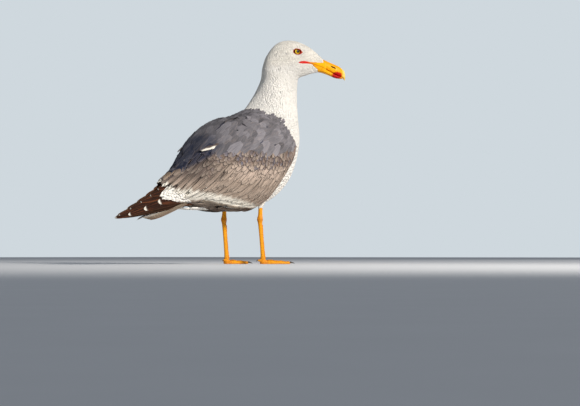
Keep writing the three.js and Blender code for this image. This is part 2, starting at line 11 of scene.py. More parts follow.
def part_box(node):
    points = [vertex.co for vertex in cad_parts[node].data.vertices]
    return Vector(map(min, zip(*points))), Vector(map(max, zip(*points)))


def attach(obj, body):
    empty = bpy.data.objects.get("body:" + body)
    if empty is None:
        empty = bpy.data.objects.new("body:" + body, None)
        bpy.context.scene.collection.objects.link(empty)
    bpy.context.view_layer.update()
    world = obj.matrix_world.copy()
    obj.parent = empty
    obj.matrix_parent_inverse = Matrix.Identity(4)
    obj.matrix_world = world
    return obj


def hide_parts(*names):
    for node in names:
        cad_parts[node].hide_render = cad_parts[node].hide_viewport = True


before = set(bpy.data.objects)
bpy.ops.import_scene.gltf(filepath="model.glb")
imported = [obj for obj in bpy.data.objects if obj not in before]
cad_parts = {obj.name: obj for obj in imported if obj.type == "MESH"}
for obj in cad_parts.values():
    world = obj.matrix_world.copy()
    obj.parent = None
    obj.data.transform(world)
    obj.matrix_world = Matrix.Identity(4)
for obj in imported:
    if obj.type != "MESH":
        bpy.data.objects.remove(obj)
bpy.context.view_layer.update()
random = np.random.default_rng(11)
print("frame loaded")


# Measures are in the bird's own millimetres: X runs forward, Y to its left and Z up from the soles.
body = {
    "back": [(-202, 116), (-160, 147), (-105, 184), (-50, 227), (-8, 249), (17, 259), (32, 270), (43, 283),
             (49, 297), (54, 312), (55.5, 330), (63, 351.5), (81, 372), (106, 376.8), (133, 368.3),
             (160, 348.8)],
    "belly": [(-196, 90), (-150, 87), (-95, 87), (-35, 90), (28, 97.5), (78.5, 129), (103, 182), (107, 232),
              (111, 270), (113.5, 297), (116, 311.5), (121, 315.5), (131, 319), (142, 322.5), (150.5, 324.5),
              (159, 326)],
    "width": [11, 20, 35, 47, 52, 52.5, 51, 44, 35.5, 30, 27, 25.5, 24.5, 22, 16, 9],
    "widest": [0.5, 0.5, 0.46, 0.46, 0.48, 0.5, 0.52, 0.52, 0.5, 0.5, 0.5, 0.5, 0.5, 0.48, 0.48, 0.5],
    "roundness": 2.25,
    "headTurn": math.radians(-32),
    "turnAxisX": 78,
    "turnFrom": 5.5,
    "turnTo": 11,
    "searchSteps": 14,
}
eye = {"x": 109, "z": 356.8, "out": 13.2, "radius": 7.6, "socketDepth": 2.6, "socketReach": 10}


def linear(hexText):
    # sRGB as hex text to the linear numbers that a shader takes
    parts = [int(hexText[i:i + 2], 16) / 255 for i in (0, 2, 4)]
    return np.array([c / 12.92 if c <= 0.04045 else ((c + 0.055) / 1.055) ** 2.4 for c in parts])


def smoothStep(x, low, high):
    s = np.clip((np.asarray(x, float) - low) / (high - low), 0, 1)
    return s * s * (3 - 2 * s)


def fade(x, low, high):
    return 1 - smoothStep(x, low, high)


def stacked(*columns):
    # columns of numbers, or single numbers, as one row for each place
    return np.stack(np.broadcast_arrays(*columns), -1)


def xyz(points):
    return points[..., 0], points[..., 1], points[..., 2]


def lengthOf(ways):
    return np.linalg.norm(ways, axis=-1, keepdims=True)


def mix(a, b, share):
    return a + (b - a) * share


def toward(colours, hue, share):
    # the colours, moved towards a hue by each place's own share
    return mix(colours, hues[hue], np.asarray(share)[..., None])


def runThrough(values):
    # smooth run through a list, one unit of t to each, straight beyond both ends
    v = np.asarray(values, float)
    padded = np.concatenate([[2 * v[0] - v[1]], v, [2 * v[-1] - v[-2]]])

    def at(t):
        t = np.asarray(t, float)
        inside = np.clip(t, 0, len(v) - 1)
        i = np.minimum(inside.astype(int), len(v) - 2)
        f = inside - i
        p0, p1, p2, p3 = padded[i], padded[i + 1], padded[i + 2], padded[i + 3]
        m1 = 0.5 * (p2 - p0)
        m2 = 0.5 * (p3 - p1)
        curve = (2 * p1 - 2 * p2 + m1 + m2) * f ** 3
        curve = curve + (3 * p2 - 3 * p1 - 2 * m1 - m2) * f ** 2 + m1 * f + p1
        slope = np.where(t < 0, v[1] - v[0], v[-1] - v[-2])
        return curve + (t - inside) * slope

    return at


def runsOf(slices):
    # one smooth run for each column of a table of slices
    return [runThrough(column) for column in zip(*slices)]


def fullTurn(count):
    return np.linspace(0, 2 * math.pi, count, endpoint=False)


def roundGrid(first, last, rows, sides):
    # rows from first to last, each with a full turn of angles
    return np.meshgrid(np.linspace(first, last, rows), fullTurn(sides), indexing="ij")


def signedPower(x, power):
    return np.sign(x) * np.abs(x) ** power


def squared(angle, roundness):
    # cosine and sine of a turn round a rounded square; a roundness of 2 is a circle
    return signedPower(np.cos(angle), 2 / roundness), signedPower(np.sin(angle), 2 / roundness)


def turnHead(points, share=1.0):
    # the head turns to the right about an upright axis through the neck
    angle = body["headTurn"] * np.asarray(share, float)
    dx = points[..., 0] - body["turnAxisX"]
    y = points[..., 1]
    turned = np.empty(points.shape)
    turned[..., 0] = body["turnAxisX"] + dx * np.cos(angle) - y * np.sin(angle)
    turned[..., 1] = dx * np.sin(angle) + y * np.cos(angle)
    turned[..., 2] = points[..., 2]
    return turned


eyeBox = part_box("eye_right")
eyeCentre = np.array([(a + b) / 2 for a, b in zip(*eyeBox)]) * 1000
ownShift = eyeCentre - turnHead(np.array([eye["x"], -eye["out"], eye["z"]]))


def toWorld(points):
    return (np.asarray(points, float) + ownShift) / 1000


backX, backZ = runsOf(body["back"])
bellyX, bellyZ = runsOf(body["belly"])
bodyWidth, bodyWidest = runThrough(body["width"]), runThrough(body["widest"])
lastRib = len(body["width"]) - 1


def socketAt(x, z):
    # how far the side of the head sinks in round the eye
    away = np.hypot(x - eye["x"], z - eye["z"]) / eye["socketReach"]
    return eye["socketDepth"] * np.exp(-away ** 2)


def bodyAt(t, angle):
    # rib t from the rump to the bill; angle 0 is the left side and a quarter turn is the back
    t = np.asarray(t, float)
    out, lift = squared(angle, body["roundness"])
    y = bodyWidth(t) * out
    widest = bodyWidest(t)
    share = widest + lift * np.where(lift > 0, 1 - widest, widest)
    x, z = mix(bellyX(t), backX(t), share), mix(bellyZ(t), backZ(t), share)
    y = y - np.sign(y) * socketAt(x, z)
    return turnHead(stacked(x, y, z), smoothStep(t, body["turnFrom"], body["turnTo"]))


def sidewaysOfHead(x, z):
    # half width of the unturned head at (x, z), by Newton steps for the rib and the share of it
    t = np.full(np.shape(x), 12.5)
    share = np.full(np.shape(x), 0.5)
    step = 1e-3
    for _ in range(body["searchSteps"]):
        bx, bz = bellyX(t), bellyZ(t)
        ux, uz = backX(t) - bx, backZ(t) - bz
        gapX, gapZ = bx + ux * share - x, bz + uz * share - z
        tx = (bellyX(t + step) * (1 - share) + backX(t + step) * share - bx - ux * share) / step
        tz = (bellyZ(t + step) * (1 - share) + backZ(t + step) * share - bz - uz * share) / step
        det = tx * uz - tz * ux
        t = np.clip(t - np.clip((gapX * uz - gapZ * ux) / det, -1, 1), 8, lastRib + 1)
        share = np.clip(share - np.clip((tx * gapZ - tz * gapX) / det, -0.3, 0.3), 0, 1)
    widest = bodyWidest(t)
    lift = np.where(share > widest, (share - widest) / (1 - widest), (share - widest) / widest)
    roundness = body["roundness"]
    half = bodyWidth(t) * np.clip(1 - np.abs(lift) ** roundness, 0, 1) ** (1 / roundness)
    return half - socketAt(x, z)


wing = {
    # x, height of the upper edge at mid back, height of the lower edge, outermost place, thickness
    "slices": [(67, 212, 174, 54.5, 3), (58, 228, 150, 58.5, 8), (30, 243, 113, 62, 12), (0, 249, 88, 63, 13),
               (-40, 241.5, 81, 64.5, 13), (-80, 223.5, 83, 61, 12), (-120, 192.5, 90, 45.5, 10),
               (-158, 158, 100, 23, 6), (-189, 138, 112, 9.5, 2.6)],
    "roundness": 2.5,
    "upperFront": 0.42,
    "upperRear": 0.97,
    "lower": 0.62,
}
wingRuns = runsOf(wing["slices"])


def wingAt(t, share, inset=0.0, side=-1):
    # slice t from the wrist back; share 0 is the lower edge and 1 the upper edge
    x, top, bottom, out, _ = [run(t) for run in wingRuns]
    climb = smoothStep(t, 1, 5)
    upper = mix(wing["upperFront"], wing["upperRear"], climb)
    across, up = squared(mix(-wing["lower"], upper, share) * math.pi / 2, wing["roundness"])
    y = (out - inset) * across
    z = (top + bottom) / 2 + ((top - bottom) / 2 - inset) * up
    return stacked(x, side * y, z)


def addObject(name, data):
    item = bpy.data.objects.new(name, data)
    bpy.context.scene.collection.objects.link(item)
    return item


def smoothFaces(mesh):
    mesh.polygons.foreach_set("use_smooth", [True] * len(mesh.polygons))


def tintMesh(mesh, colours):
    colours = np.concatenate([colours, np.ones((len(colours), 1))], 1)
    layer = mesh.attributes.new("tint", "FLOAT_COLOR", "POINT")
    layer.data.foreach_set("color", colours.astype(np.float32).ravel())


def pieceFrom(name, points, faces, material, colours=None):
    # points in the bird's own millimetres; the place goes into the mesh
    mesh = bpy.data.meshes.new(name)
    mesh.from_pydata(toWorld(points).tolist(), [], [list(map(int, f)) for f in faces])
    mesh.validate()
    smoothFaces(mesh)
    mesh.update()
    mesh.materials.append(material)
    if colours is not None:
        tintMesh(mesh, colours)
    faceOutwards(mesh)
    return addObject(name, mesh)


def loftFaces(rows, sides):
    # quads between rows of points, each row a closed turn
    i, j = np.meshgrid(np.arange(rows - 1), np.arange(sides), indexing="ij")
    a, b = i * sides + j, i * sides + (j + 1) % sides
    return stacked(a, b, b + sides, a + sides).reshape(-1, 4).tolist()


def closedLoft(rows):
    # rows: (n, sides, 3); adds a hub at each end
    n, sides = rows.shape[:2]
    points = np.concatenate([rows.reshape(-1, 3), rows[[0, -1]].mean(1)])
    faces = loftFaces(n, sides)
    hub = n * sides
    last = (n - 1) * sides
    for j in range(sides):
        k = (j + 1) % sides
        faces.append([hub, k, j])
        faces.append([hub + 1, last + j, last + k])
    return points, faces


def atHubs(values):
    # values of a closed loft's points, with nought at both hubs
    return np.concatenate([values.ravel(), [0, 0]])


def foldedLoft(rows):
    # rows that run out along one face and back along the other; quads close both ends
    n, sides = rows.shape[:2]
    faces = loftFaces(n, sides)
    for end in (0, (n - 1) * sides):
        back = end + sides - 1
        faces += [[end + j, end + j + 1, back - 1 - j, back - j] for j in range(sides // 2 - 1)]
    return rows.reshape(-1, 3), faces


def joined(parts):
    points, faces, base = [], [], 0
    for p, f in parts:
        points.append(p)
        faces += [[base + i for i in face] for face in f]
        base += len(p)
    return np.concatenate(points), faces


def faceOutwards(mesh):
    work = bmesh.new()
    work.from_mesh(mesh)
    bmesh.ops.remove_doubles(work, verts=work.verts, dist=1e-6)
    bmesh.ops.recalc_face_normals(work, faces=work.faces)
    work.to_mesh(mesh)
    work.free()
    mesh.update()


def applyModifiers(piece):
    # the evaluated shape becomes the piece's own plain mesh
    graph = bpy.context.evaluated_depsgraph_get()
    finished = bpy.data.meshes.new_from_object(piece.evaluated_get(graph))
    old = piece.data
    piece.modifiers.clear()
    piece.data = finished
    bpy.data.meshes.remove(old)


def mergeSkin(piece, voxel):
    # the overlapping parts become one skin
    remesh = piece.modifiers.new("join", "REMESH")
    remesh.mode = "VOXEL"
    remesh.voxel_size = voxel
    piece.modifiers.new("soften", "SMOOTH").iterations = 4
    applyModifiers(piece)
    smoothFaces(piece.data)


# node helpers, and the shader groups, each built once
def newGroup(name, inputs, outputs, kind="ShaderNodeTree"):
    group = bpy.data.node_groups.new(name, kind)
    for label, sort, value in inputs:
        socket = group.interface.new_socket(label, in_out="INPUT", socket_type="NodeSocket" + sort)
        if value is not None:
            socket.default_value = value
    for label, sort in outputs:
        group.interface.new_socket(label, in_out="OUTPUT", socket_type="NodeSocket" + sort)
    return group, group.nodes.new("NodeGroupInput").outputs, group.nodes.new("NodeGroupOutput").inputs


def feed(tree, socket, value):
    # a link, a colour or a plain value into a socket
    if hasattr(value, "links"):
        tree.links.new(value, socket)
    elif socket.type == "RGBA":
        socket.default_value = (*value[:3], 1)
    else:
        socket.default_value = value


def addNode(tree, kind, feeds=None, **settings):
    # settings first, then what goes into each socket, by its name or number; gives the node's outputs
    node = tree.nodes.new(kind)
    for label, value in settings.items():
        setattr(node, label, value)
    for label, value in (feeds or {}).items():
        feed(tree, node.inputs[label], value)
    return node.outputs


def maths(tree, operation, *values):
    return addNode(tree, "ShaderNodeMath", dict(enumerate(values)), operation=operation)[0]


def varied(tree, value, reach, base):
    # the base, raised and lowered by the value's distance from one half
    return maths(tree, "MULTIPLY_ADD", maths(tree, "SUBTRACT", value, 0.5), reach, base)


def scaledBy(tree, vector, share):
    return addNode(tree, "ShaderNodeVectorMath", {0: vector, "Scale": share}, operation="SCALE")[0]


def remap(tree, value, low, high, toLow=0.0, toHigh=1.0):
    feeds = {"Value": value, "From Min": low, "From Max": high, "To Min": toLow, "To Max": toHigh}
    return addNode(tree, "ShaderNodeMapRange", feeds, interpolation_type="SMOOTHSTEP")["Result"]


def mixColour(tree, share, a, b, blend="MIX"):
    return addNode(tree, "ShaderNodeMix", {0: share, 6: a, 7: b}, data_type="RGBA", blend_type=blend)[2]


def noise(tree, vector, scale, detail, roughness=0.5):
    feeds = {"Vector": vector, "Scale": scale, "Detail": detail, "Roughness": roughness}
    return addNode(tree, "ShaderNodeTexNoise", feeds)["Fac"]


def barbGroup():
    # a vane's own pattern: u runs from root to tip and v across, both 0 to 1
    group, given, result = newGroup("vaneBarbs", [
        ("Vane", "Vector", None), ("Tone", "Float", 0.5), ("Barbs", "Float", 30.0), ("Slant", "Float", 0.5),
        ("Shaft", "Float", 0.05), ("Streaks", "Float", 6.0),
    ], [(label, "Float") for label in ("Lines", "Shaft", "Rim", "Streak")])
    u, v, _ = addNode(group, "ShaderNodeSeparateXYZ", {0: given["Vane"]})
    across = maths(group, "ABSOLUTE", maths(group, "MULTIPLY_ADD", v, 2.0, -1.0))
    along = maths(group, "SUBTRACT", u, maths(group, "MULTIPLY", across, given["Slant"]))
    phase = maths(group, "MULTIPLY", along, given["Barbs"])
    phase = maths(group, "MULTIPLY_ADD", noise(group, given["Vane"], 6.0, 2.0), 2.5, phase)
    wave = maths(group, "SINE", maths(group, "MULTIPLY", phase, 6.283))
    # streaks run along the vane and differ from one vane to the next
    far = addNode(group, "ShaderNodeCombineXYZ", {
        0: maths(group, "MULTIPLY", u, 1.6), 1: maths(group, "MULTIPLY", v, given["Streaks"]),
        2: maths(group, "MULTIPLY", given["Tone"], 71.0)})[0]
    feed(group, result["Lines"], maths(group, "MULTIPLY_ADD", wave, 0.5, 0.5))
    ratio = maths(group, "DIVIDE", across, given["Shaft"])
    feed(group, result["Shaft"], remap(group, ratio, 0.6, 1.6, 1.0, 0.0))
    feed(group, result["Rim"], remap(group, across, 0.7, 1.0))
    feed(group, result["Streak"], noise(group, far, 1.0, 4.0, 0.6))
    return group


def mottleGroup():
    # soft blotches and fine grain, by place on the bird
    group, given, result = newGroup("mottle", [
        ("Place", "Vector", None), ("Blotch", "Float", 40.0), ("Grain", "Float", 900.0),
    ], [("Blotch", "Float"), ("Grain", "Float")])
    for label, detail in (("Blotch", 3.0), ("Grain", 2.0)):
        feed(group, result[label], noise(group, given["Place"], given[label], detail))
    return group


def scaleGroup():
    # small scales of bare skin: a raised cell with a dark joint round it
    group, given, result = newGroup("skinScales", [("Place", "Vector", None), ("Scale", "Float", 700.0)],
            [("Joint", "Float"), ("Height", "Float"), ("Cell", "Float")])
    feeds = {"Vector": given["Place"], "Scale": given["Scale"], "Randomness": 0.75}
    edge = addNode(group, "ShaderNodeTexVoronoi", feeds, feature="DISTANCE_TO_EDGE")["Distance"]
    cell = addNode(group, "ShaderNodeTexVoronoi", feeds)["Color"]
    feed(group, result["Joint"], remap(group, edge, 0.0, 0.09, 1.0, 0.0))
    feed(group, result["Height"], remap(group, edge, 0.0, 0.3))
    feed(group, result["Cell"], addNode(group, "ShaderNodeSeparateColor", {0: cell})[0])
    return group


shaderGroups = {"barbs": barbGroup(), "mottle": mottleGroup(), "scales": scaleGroup()}


def place(tree, group, **settings):
    feeds = {label.capitalize(): value for label, value in settings.items()}
    return addNode(tree, "ShaderNodeGroup", feeds, node_tree=shaderGroups[group])


def newMaterial(name, plain):
    # the material, its tree, its shader's sockets and the place on the object
    material = bpy.data.materials.new(name)
    material.use_nodes = True
    tree = material.node_tree
    sockets = tree.nodes["Principled BSDF"].inputs
    for label, value in plain.items():
        sockets[label].default_value = value
    return material, tree, sockets, addNode(tree, "ShaderNodeTexCoord")["Object"]


def dress(tree, sockets, colour, height=None, strength=0.0, depth=0.0):
    # colour and relief into the shader
    feed(tree, sockets["Base Color"], colour)
    if height is not None:
        relief = addNode(tree, "ShaderNodeBump", {"Height": height, "Strength": strength, "Distance": depth})
        feed(tree, sockets["Normal"], relief["Normal"])


def attribute(tree, name):
    return addNode(tree, "ShaderNodeAttribute", attribute_name=name)


def looksOf(names, table):
    # a table of one value for each name, as one dictionary for each name
    return {name: {key: values[k] for key, values in table.items()} for k, name in enumerate(names)}


plumageNames = ("whitePlumage", "mantlePlumage", "flightPlumage")
plumageLooks = {
    # one value for each of the three kinds
    "roughness": (0.9, 0.75, 0.6), "sheen": (0.05, 0.0, 0.0), "specular": (0.1, 0.2, 0.1),
    "barbs": (14.0, 34.0, 90.0), "slant": (0.5, 0.35, 0.25), "shaft": (0.06, 0.045, 0.05),
    "blotch": (60.0, 70.0, 40.0), "grain": (1500.0, 1200.0, 900.0), "toneRange": (0.07, 0.22, 0.2),
    "blotchRange": (0.06, 0.3, 0.35), "grainRange": (0.05, 0.12, 0.1), "lineRange": (0.03, 0.1, 0.12),
    "shaftDark": (0.0, 0.2, 0.15), "rimLight": (0.0, 0.08, 0.25), "bump": (0.12, 0.4, 0.4),
    "bumpDepth": (0.0003, 0.0006, 0.0005), "streaks": (4.0, 6.0, 7.0), "streakRange": (0.05, 1.2, 1.0),
    "streakMix": (0.0, 0.3, 0.6), "streakHue": (linear("d8cfc2"), linear("7f7066"), linear("6b3a20")),
}


def plumageMaterial(name, look):
    # the tint comes with each vane; barbs, shaft, rim and mottling are added to it
    material, tree, sockets, where = newMaterial(name, {
        "Roughness": look["roughness"], "Sheen Weight": look["sheen"], "Specular IOR Level": look["specular"],
        "Sheen Roughness": 0.5})
    vane = addNode(tree, "ShaderNodeUVMap", uv_map="Vane")[0]
    tone, tint = attribute(tree, "tone")["Fac"], attribute(tree, "tint")["Color"]
    barbs = place(tree, "barbs", vane=vane, tone=tone, barbs=look["barbs"], slant=look["slant"],
            shaft=look["shaft"], streaks=look["streaks"])
    spots = place(tree, "mottle", place=where, blotch=look["blotch"], grain=look["grain"])
    shade = varied(tree, tone, look["toneRange"], 1.0)
    shade = varied(tree, spots["Blotch"], look["blotchRange"], shade)
    shade = varied(tree, spots["Grain"], look["grainRange"], shade)
    shade = varied(tree, barbs["Lines"], look["lineRange"], shade)
    shade = maths(tree, "MULTIPLY_ADD", barbs["Shaft"], -look["shaftDark"], shade)
    shade = maths(tree, "MULTIPLY_ADD", barbs["Rim"], look["rimLight"], shade)
    # the streaks show on grey and dark vanes and leave the white ones nearly alone
    dark = remap(tree, tint, 0.4, 0.65, 1.0, 0.12)
    streak = maths(tree, "MULTIPLY", maths(tree, "SUBTRACT", barbs["Streak"], 0.5), dark)
    shade = maths(tree, "MULTIPLY_ADD", streak, look["streakRange"], shade)
    stain = maths(tree, "MULTIPLY", remap(tree, streak, 0.0, 0.16, 0.0, look["streakMix"]), dark)
    colour = scaledBy(tree, mixColour(tree, stain, tint, look["streakHue"]), shade)
    height = maths(tree, "MULTIPLY_ADD", barbs["Lines"], 0.5, maths(tree, "MULTIPLY", spots["Grain"], 0.6))
    dress(tree, sockets, colour, height, look["bump"], look["bumpDepth"])
    return material


def skinMaterial():
    # the skin under the coat carries the coat's own markings
    plain = {"Roughness": 0.9, "Specular IOR Level": 0.1}
    material, tree, sockets, where = newMaterial("featheredSkin", plain)
    spots = place(tree, "mottle", place=where, blotch=50.0, grain=1200.0)
    patches = remap(tree, spots["Blotch"], 0.3, 0.7, 0.0, 0.12)
    colour = mixColour(tree, patches, attribute(tree, "tint")["Color"], (0.5, 0.47, 0.44), "MULTIPLY")
    dress(tree, sockets, colour, spots["Grain"], 0.5, 0.0005)
    return material


def billMaterial(look):
    # the horn's yellow, red and pale parts come with the mesh; blotches and grain are added
    material, tree, sockets, where = newMaterial("billHorn", {
        "Roughness": 0.42, "Coat Weight": 0.03, "Specular IOR Level": 0.15, "Coat Roughness": 0.22})
    spots = place(tree, "mottle", place=where, blotch=120.0, grain=700.0)
    shade = varied(tree, spots["Blotch"], look["blotch"], 1.0)
    shade = varied(tree, spots["Grain"], look["grain"], shade)
    colour = scaledBy(tree, attribute(tree, "tint")["Color"], shade)
    feed(tree, sockets["Roughness"], maths(tree, "MULTIPLY_ADD", spots["Blotch"], 0.25, 0.32))
    height = maths(tree, "MULTIPLY_ADD", spots["Grain"], 0.5, spots["Blotch"])
    dress(tree, sockets, colour, height, 0.18, 0.0004)
    return material


def bareSkinMaterial(name, look):
    # scaly bare skin: raised cells, dark joints and patches of wear
    material, tree, sockets, where = newMaterial(name, {
        "Roughness": look["roughness"], "Specular IOR Level": 0.22, "Coat Weight": look["coat"],
        "Coat Roughness": 0.4})
    scales = place(tree, "scales", place=where, scale=look["scale"])
    spots = place(tree, "mottle", place=where, blotch=look["blotch"], grain=1500.0)
    joints = maths(tree, "MULTIPLY", scales["Joint"], look["jointDark"])
    colour = mixColour(tree, joints, attribute(tree, "tint")["Color"], look["joint"], "MULTIPLY")
    wear = remap(tree, spots["Blotch"], 0.45, 0.75, 0.0, look["wear"])
    colour = mixColour(tree, wear, colour, look["worn"])
    colour = scaledBy(tree, colour, varied(tree, scales["Cell"], 0.16, 1.0))
    height = maths(tree, "MULTIPLY_ADD", spots["Grain"], 0.35, scales["Height"])
    dress(tree, sockets, colour, height, look["bump"], look["bumpDepth"])
    return material


def hornMaterial():
    material, tree, sockets, where = newMaterial("clawHorn", {"Roughness": 0.35, "Coat Weight": 0.3})
    spots = place(tree, "mottle", place=where, blotch=300.0, grain=1500.0)
    colour = mixColour(tree, spots["Blotch"], linear("1c1714"), linear("4a3b30"))
    dress(tree, sockets, colour, spots["Grain"], 0.3, 0.0003)
    return material


def eyeMaterial():
    # the iris's rings and rays come with the ball's own attributes
    material, tree, sockets, where = newMaterial("gullEye", {
        "Roughness": 0.1, "Coat Weight": 0.1, "Specular IOR Level": 0.2, "Coat Roughness": 0.02})
    spots = place(tree, "mottle", place=where, blotch=500.0, grain=2500.0)
    fleck = remap(tree, spots["Blotch"], 0.35, 0.7, 0.0, 0.35)
    tint = attribute(tree, "tint")["Color"]
    dress(tree, sockets, mixColour(tree, fleck, tint, (0.62, 0.42, 0.2), "MULTIPLY"))
    return material


materials = {name: plumageMaterial(name, look) for name, look in looksOf(plumageNames, plumageLooks).items()}
materials["skin"] = skinMaterial()
materials["bill"] = billMaterial({"blotch": 0.18, "grain": 0.1})
materials["leg"] = bareSkinMaterial("legSkin", {
    "roughness": 0.5, "coat": 0.04, "scale": 620.0, "blotch": 90.0, "joint": linear("b06a1c"),
    "jointDark": 0.55, "worn": linear("d98a28"), "wear": 0.35, "bump": 0.5, "bumpDepth": 0.0006})
materials["lid"] = bareSkinMaterial("orbitalSkin", {
    "roughness": 0.55, "coat": 0.05, "scale": 1400.0, "blotch": 400.0, "joint": linear("7a1410"),
    "jointDark": 0.6, "worn": linear("e8642a"), "wear": 0.25, "bump": 0.5, "bumpDepth": 0.0004})
materials["claw"] = hornMaterial()
materials["eye"] = eyeMaterial()
print("materials made")


# stage
stage = {
    "turn": math.radians(48), "distance": 3.0, "height": 0.015, "lens": 112.85,
    "aimRight": math.radians(1.42), "aimUp": math.radians(1.635),
    "floorColour": linear("d9dadb"), "floorSize": 14.0,
    "worldColour": (0.8, 0.88, 1.0), "worldStrength": 0.3, "backgroundColour": linear("cfd8de"),
    "lampTarget": (0.05, 0, 0.26),
}
lampNames = ("key", "fill", "back")
lampLooks = {
    # one value for each of the three; the lamp shines from a turn about up from +X and a rise, in degrees
    "turn": (-96, -10, 120), "rise": (24, 20, 42), "distance": (2.6, 3.0, 2.8), "size": (0.5, 1.8, 1.6),
    "power": (18.4, 13, 3), "spread": (90, 180, 180),
    "colour": ((1.0, 0.955, 0.9), (1.0, 0.97, 0.94), (0.86, 0.93, 1.0)),
}


def makeCamera():
    camera = bpy.data.cameras.new("camera")
    camera.lens = stage["lens"]
    camera.sensor_width = 36
    camera.clip_end = 50
    item = addObject("camera", camera)
    foot = toWorld([0, 0, 0])
    ahead = np.array([math.sin(stage["turn"]), math.cos(stage["turn"]), 0])
    item.location = (*(foot - ahead * stage["distance"])[:2], stage["height"])
    # the view turns right and up a little from the ray to the feet
    level = stage["turn"] + stage["aimRight"]
    rise = stage["aimUp"]
    look = Vector((math.sin(level) * math.cos(rise), math.cos(level) * math.cos(rise), math.sin(rise)))
    item.rotation_euler = look.to_track_quat("-Z", "Y").to_euler()
    bpy.context.scene.camera = item


def makeLamps():
    for name, look in looksOf(lampNames, lampLooks).items():
        lamp = bpy.data.lights.new(name, "AREA")
        lamp.shape = "DISK"
        lamp.size = look["size"]
        lamp.energy = look["power"]
        lamp.color = look["colour"]
        lamp.spread = math.radians(look["spread"])
        item = addObject(name, lamp)
        turn, rise = math.radians(look["turn"]), math.radians(look["rise"])
        outward = Vector((math.cos(turn) * math.cos(rise), math.sin(turn) * math.cos(rise), math.sin(rise)))
        item.location = Vector(stage["lampTarget"]) + outward * look["distance"]
        item.rotation_euler = (-outward).to_track_quat("-Z", "Y").to_euler()


def makeWorld():
    # a soft light from all round; the camera sees a plain background instead
    world = bpy.data.worlds.new("room")
    world.use_nodes = True
    tree = world.node_tree
    shine = tree.nodes["Background"]
    feed(tree, shine.inputs["Color"], stage["worldColour"])
    feed(tree, shine.inputs["Strength"], stage["worldStrength"])
    seen = addNode(tree, "ShaderNodeBackground", {"Color": stage["backgroundColour"], "Strength": 1.0})[0]
    direct = addNode(tree, "ShaderNodeLightPath")["Is Camera Ray"]
    room = addNode(tree, "ShaderNodeMixShader", {0: direct, 1: shine.outputs[0], 2: seen})[0]
    feed(tree, tree.nodes["World Output"].inputs["Surface"], room)
    bpy.context.scene.world = world


def makeFloor():
    half = stage["floorSize"] / 2
    mesh = bpy.data.meshes.new("floor")
    corners = [(-half, -half, 0), (half, -half, 0), (half, half, 0), (-half, half, 0)]
    mesh.from_pydata(corners, [], [(0, 1, 2, 3)])
    material, tree, sockets, where = newMaterial("paleFloor", {"Roughness": 0.85, "Specular IOR Level": 0.2})
    pale = stage["floorColour"]
    dress(tree, sockets, mixColour(tree, noise(tree, where, 30.0, 4.0), pale * 0.97, pale * 1.03))
    mesh.materials.append(material)
    addObject("floor", mesh)


makeCamera()
makeLamps()
makeWorld()
makeFloor()
bpy.context.scene.view_settings.view_transform = "Standard"
print("stage set")


# markings
hueCodes = {
    "white": "f2eee7", "warmWhite": "f7f0e2", "mantle": "4b4c59", "mantleRear": "444656",
    # the dark blue-grey between the wings is painted shade
    "mantleLow": "766f6e", "between": "272e42", "wornMantle": "78737a", "mantleEdge": "8f8b8f",
    "wornEdge": "ad9e90", "covert": "a79484", "paleCovert": "c2ad9d", "rearCovert": "584c47",
    # the brown is the feathers' own brown, and on the tail painted shade
    "band": "7d695e", "bandGrey": "6c6a76", "bandPale": "a89789", "tan": "84705c", "brownAndShade": "75655a",
    # the tail's beige grey is painted shade on the outer tail feathers
    "primaryEdge": "6d5443", "tailShade": "b9aa92", "strip": "a0907d", "black": "26120a",
    # the worn black is the primaries' own colour, and under the wings painted shade
    "wornBlackAndShade": "3d2413", "tipWhite": "efe8da", "billYellow": "f0a500", "billRidge": "e08a00",
    # the nostril's near black is painted shade in the slit
    "billTip": "efcf6a", "billRed": "b00808", "mouth": "cc1408", "nostril": "140a04", "lid": "b00e06",
    # the pupil's black also serves as painted shadow round the iris
    "lidFront": "dc5c14", "pupil": "060404", "iris": "f5dc3a", "irisRim": "3a240c", "irisDeep": "d09a20",
    # the dark brown along the mouth is painted shade in its crease
    # the darker leg orange is painted shade at the joints
    "lidEdge": "2c0804", "mouthCreaseShade": "6b2a0c", "leg": "f3a400", "legJointShade": "e08c0a", "web": "ea9c1e",
}
hues = {name: linear(code) for name, code in hueCodes.items()}
ring = {"length": 7.3, "height": 5.3, "corner": 1.9, "clear": 1.03, "steps": 120, "outer": 12, "inner": 6}


def eyeDistance(local):
    # 1 on the outline of the bare ring, which is drawn out to a point at its front corner
    dx, dz = local[..., 0] - eye["x"], local[..., 2] - eye["z"]
    front = np.clip(dx / ring["length"], 0, 1)
    reach = ring["length"] + ring["corner"] * front ** 3
    return np.hypot(dx / reach, (dz + 0.12 * np.maximum(dx, 0)) / ring["height"])


shadeLine = {
    # where the folded wing turns in towards the back, by place along X; shade is painted over this line
    "x": [-205, -197, -182, -160, -133, -115, -104], "z": [127, 131.5, 137.5, 149, 164, 176, 196],
}


def paintedShadeShare(points):
    # how far a place lies over that line, between the wings: the share of painted shade there
    line = np.interp(points[..., 0], shadeLine["x"], shadeLine["z"])
    return smoothStep(points[..., 2] - line, -1.5, 3.0) * smoothStep(-points[..., 0], 98, 110)


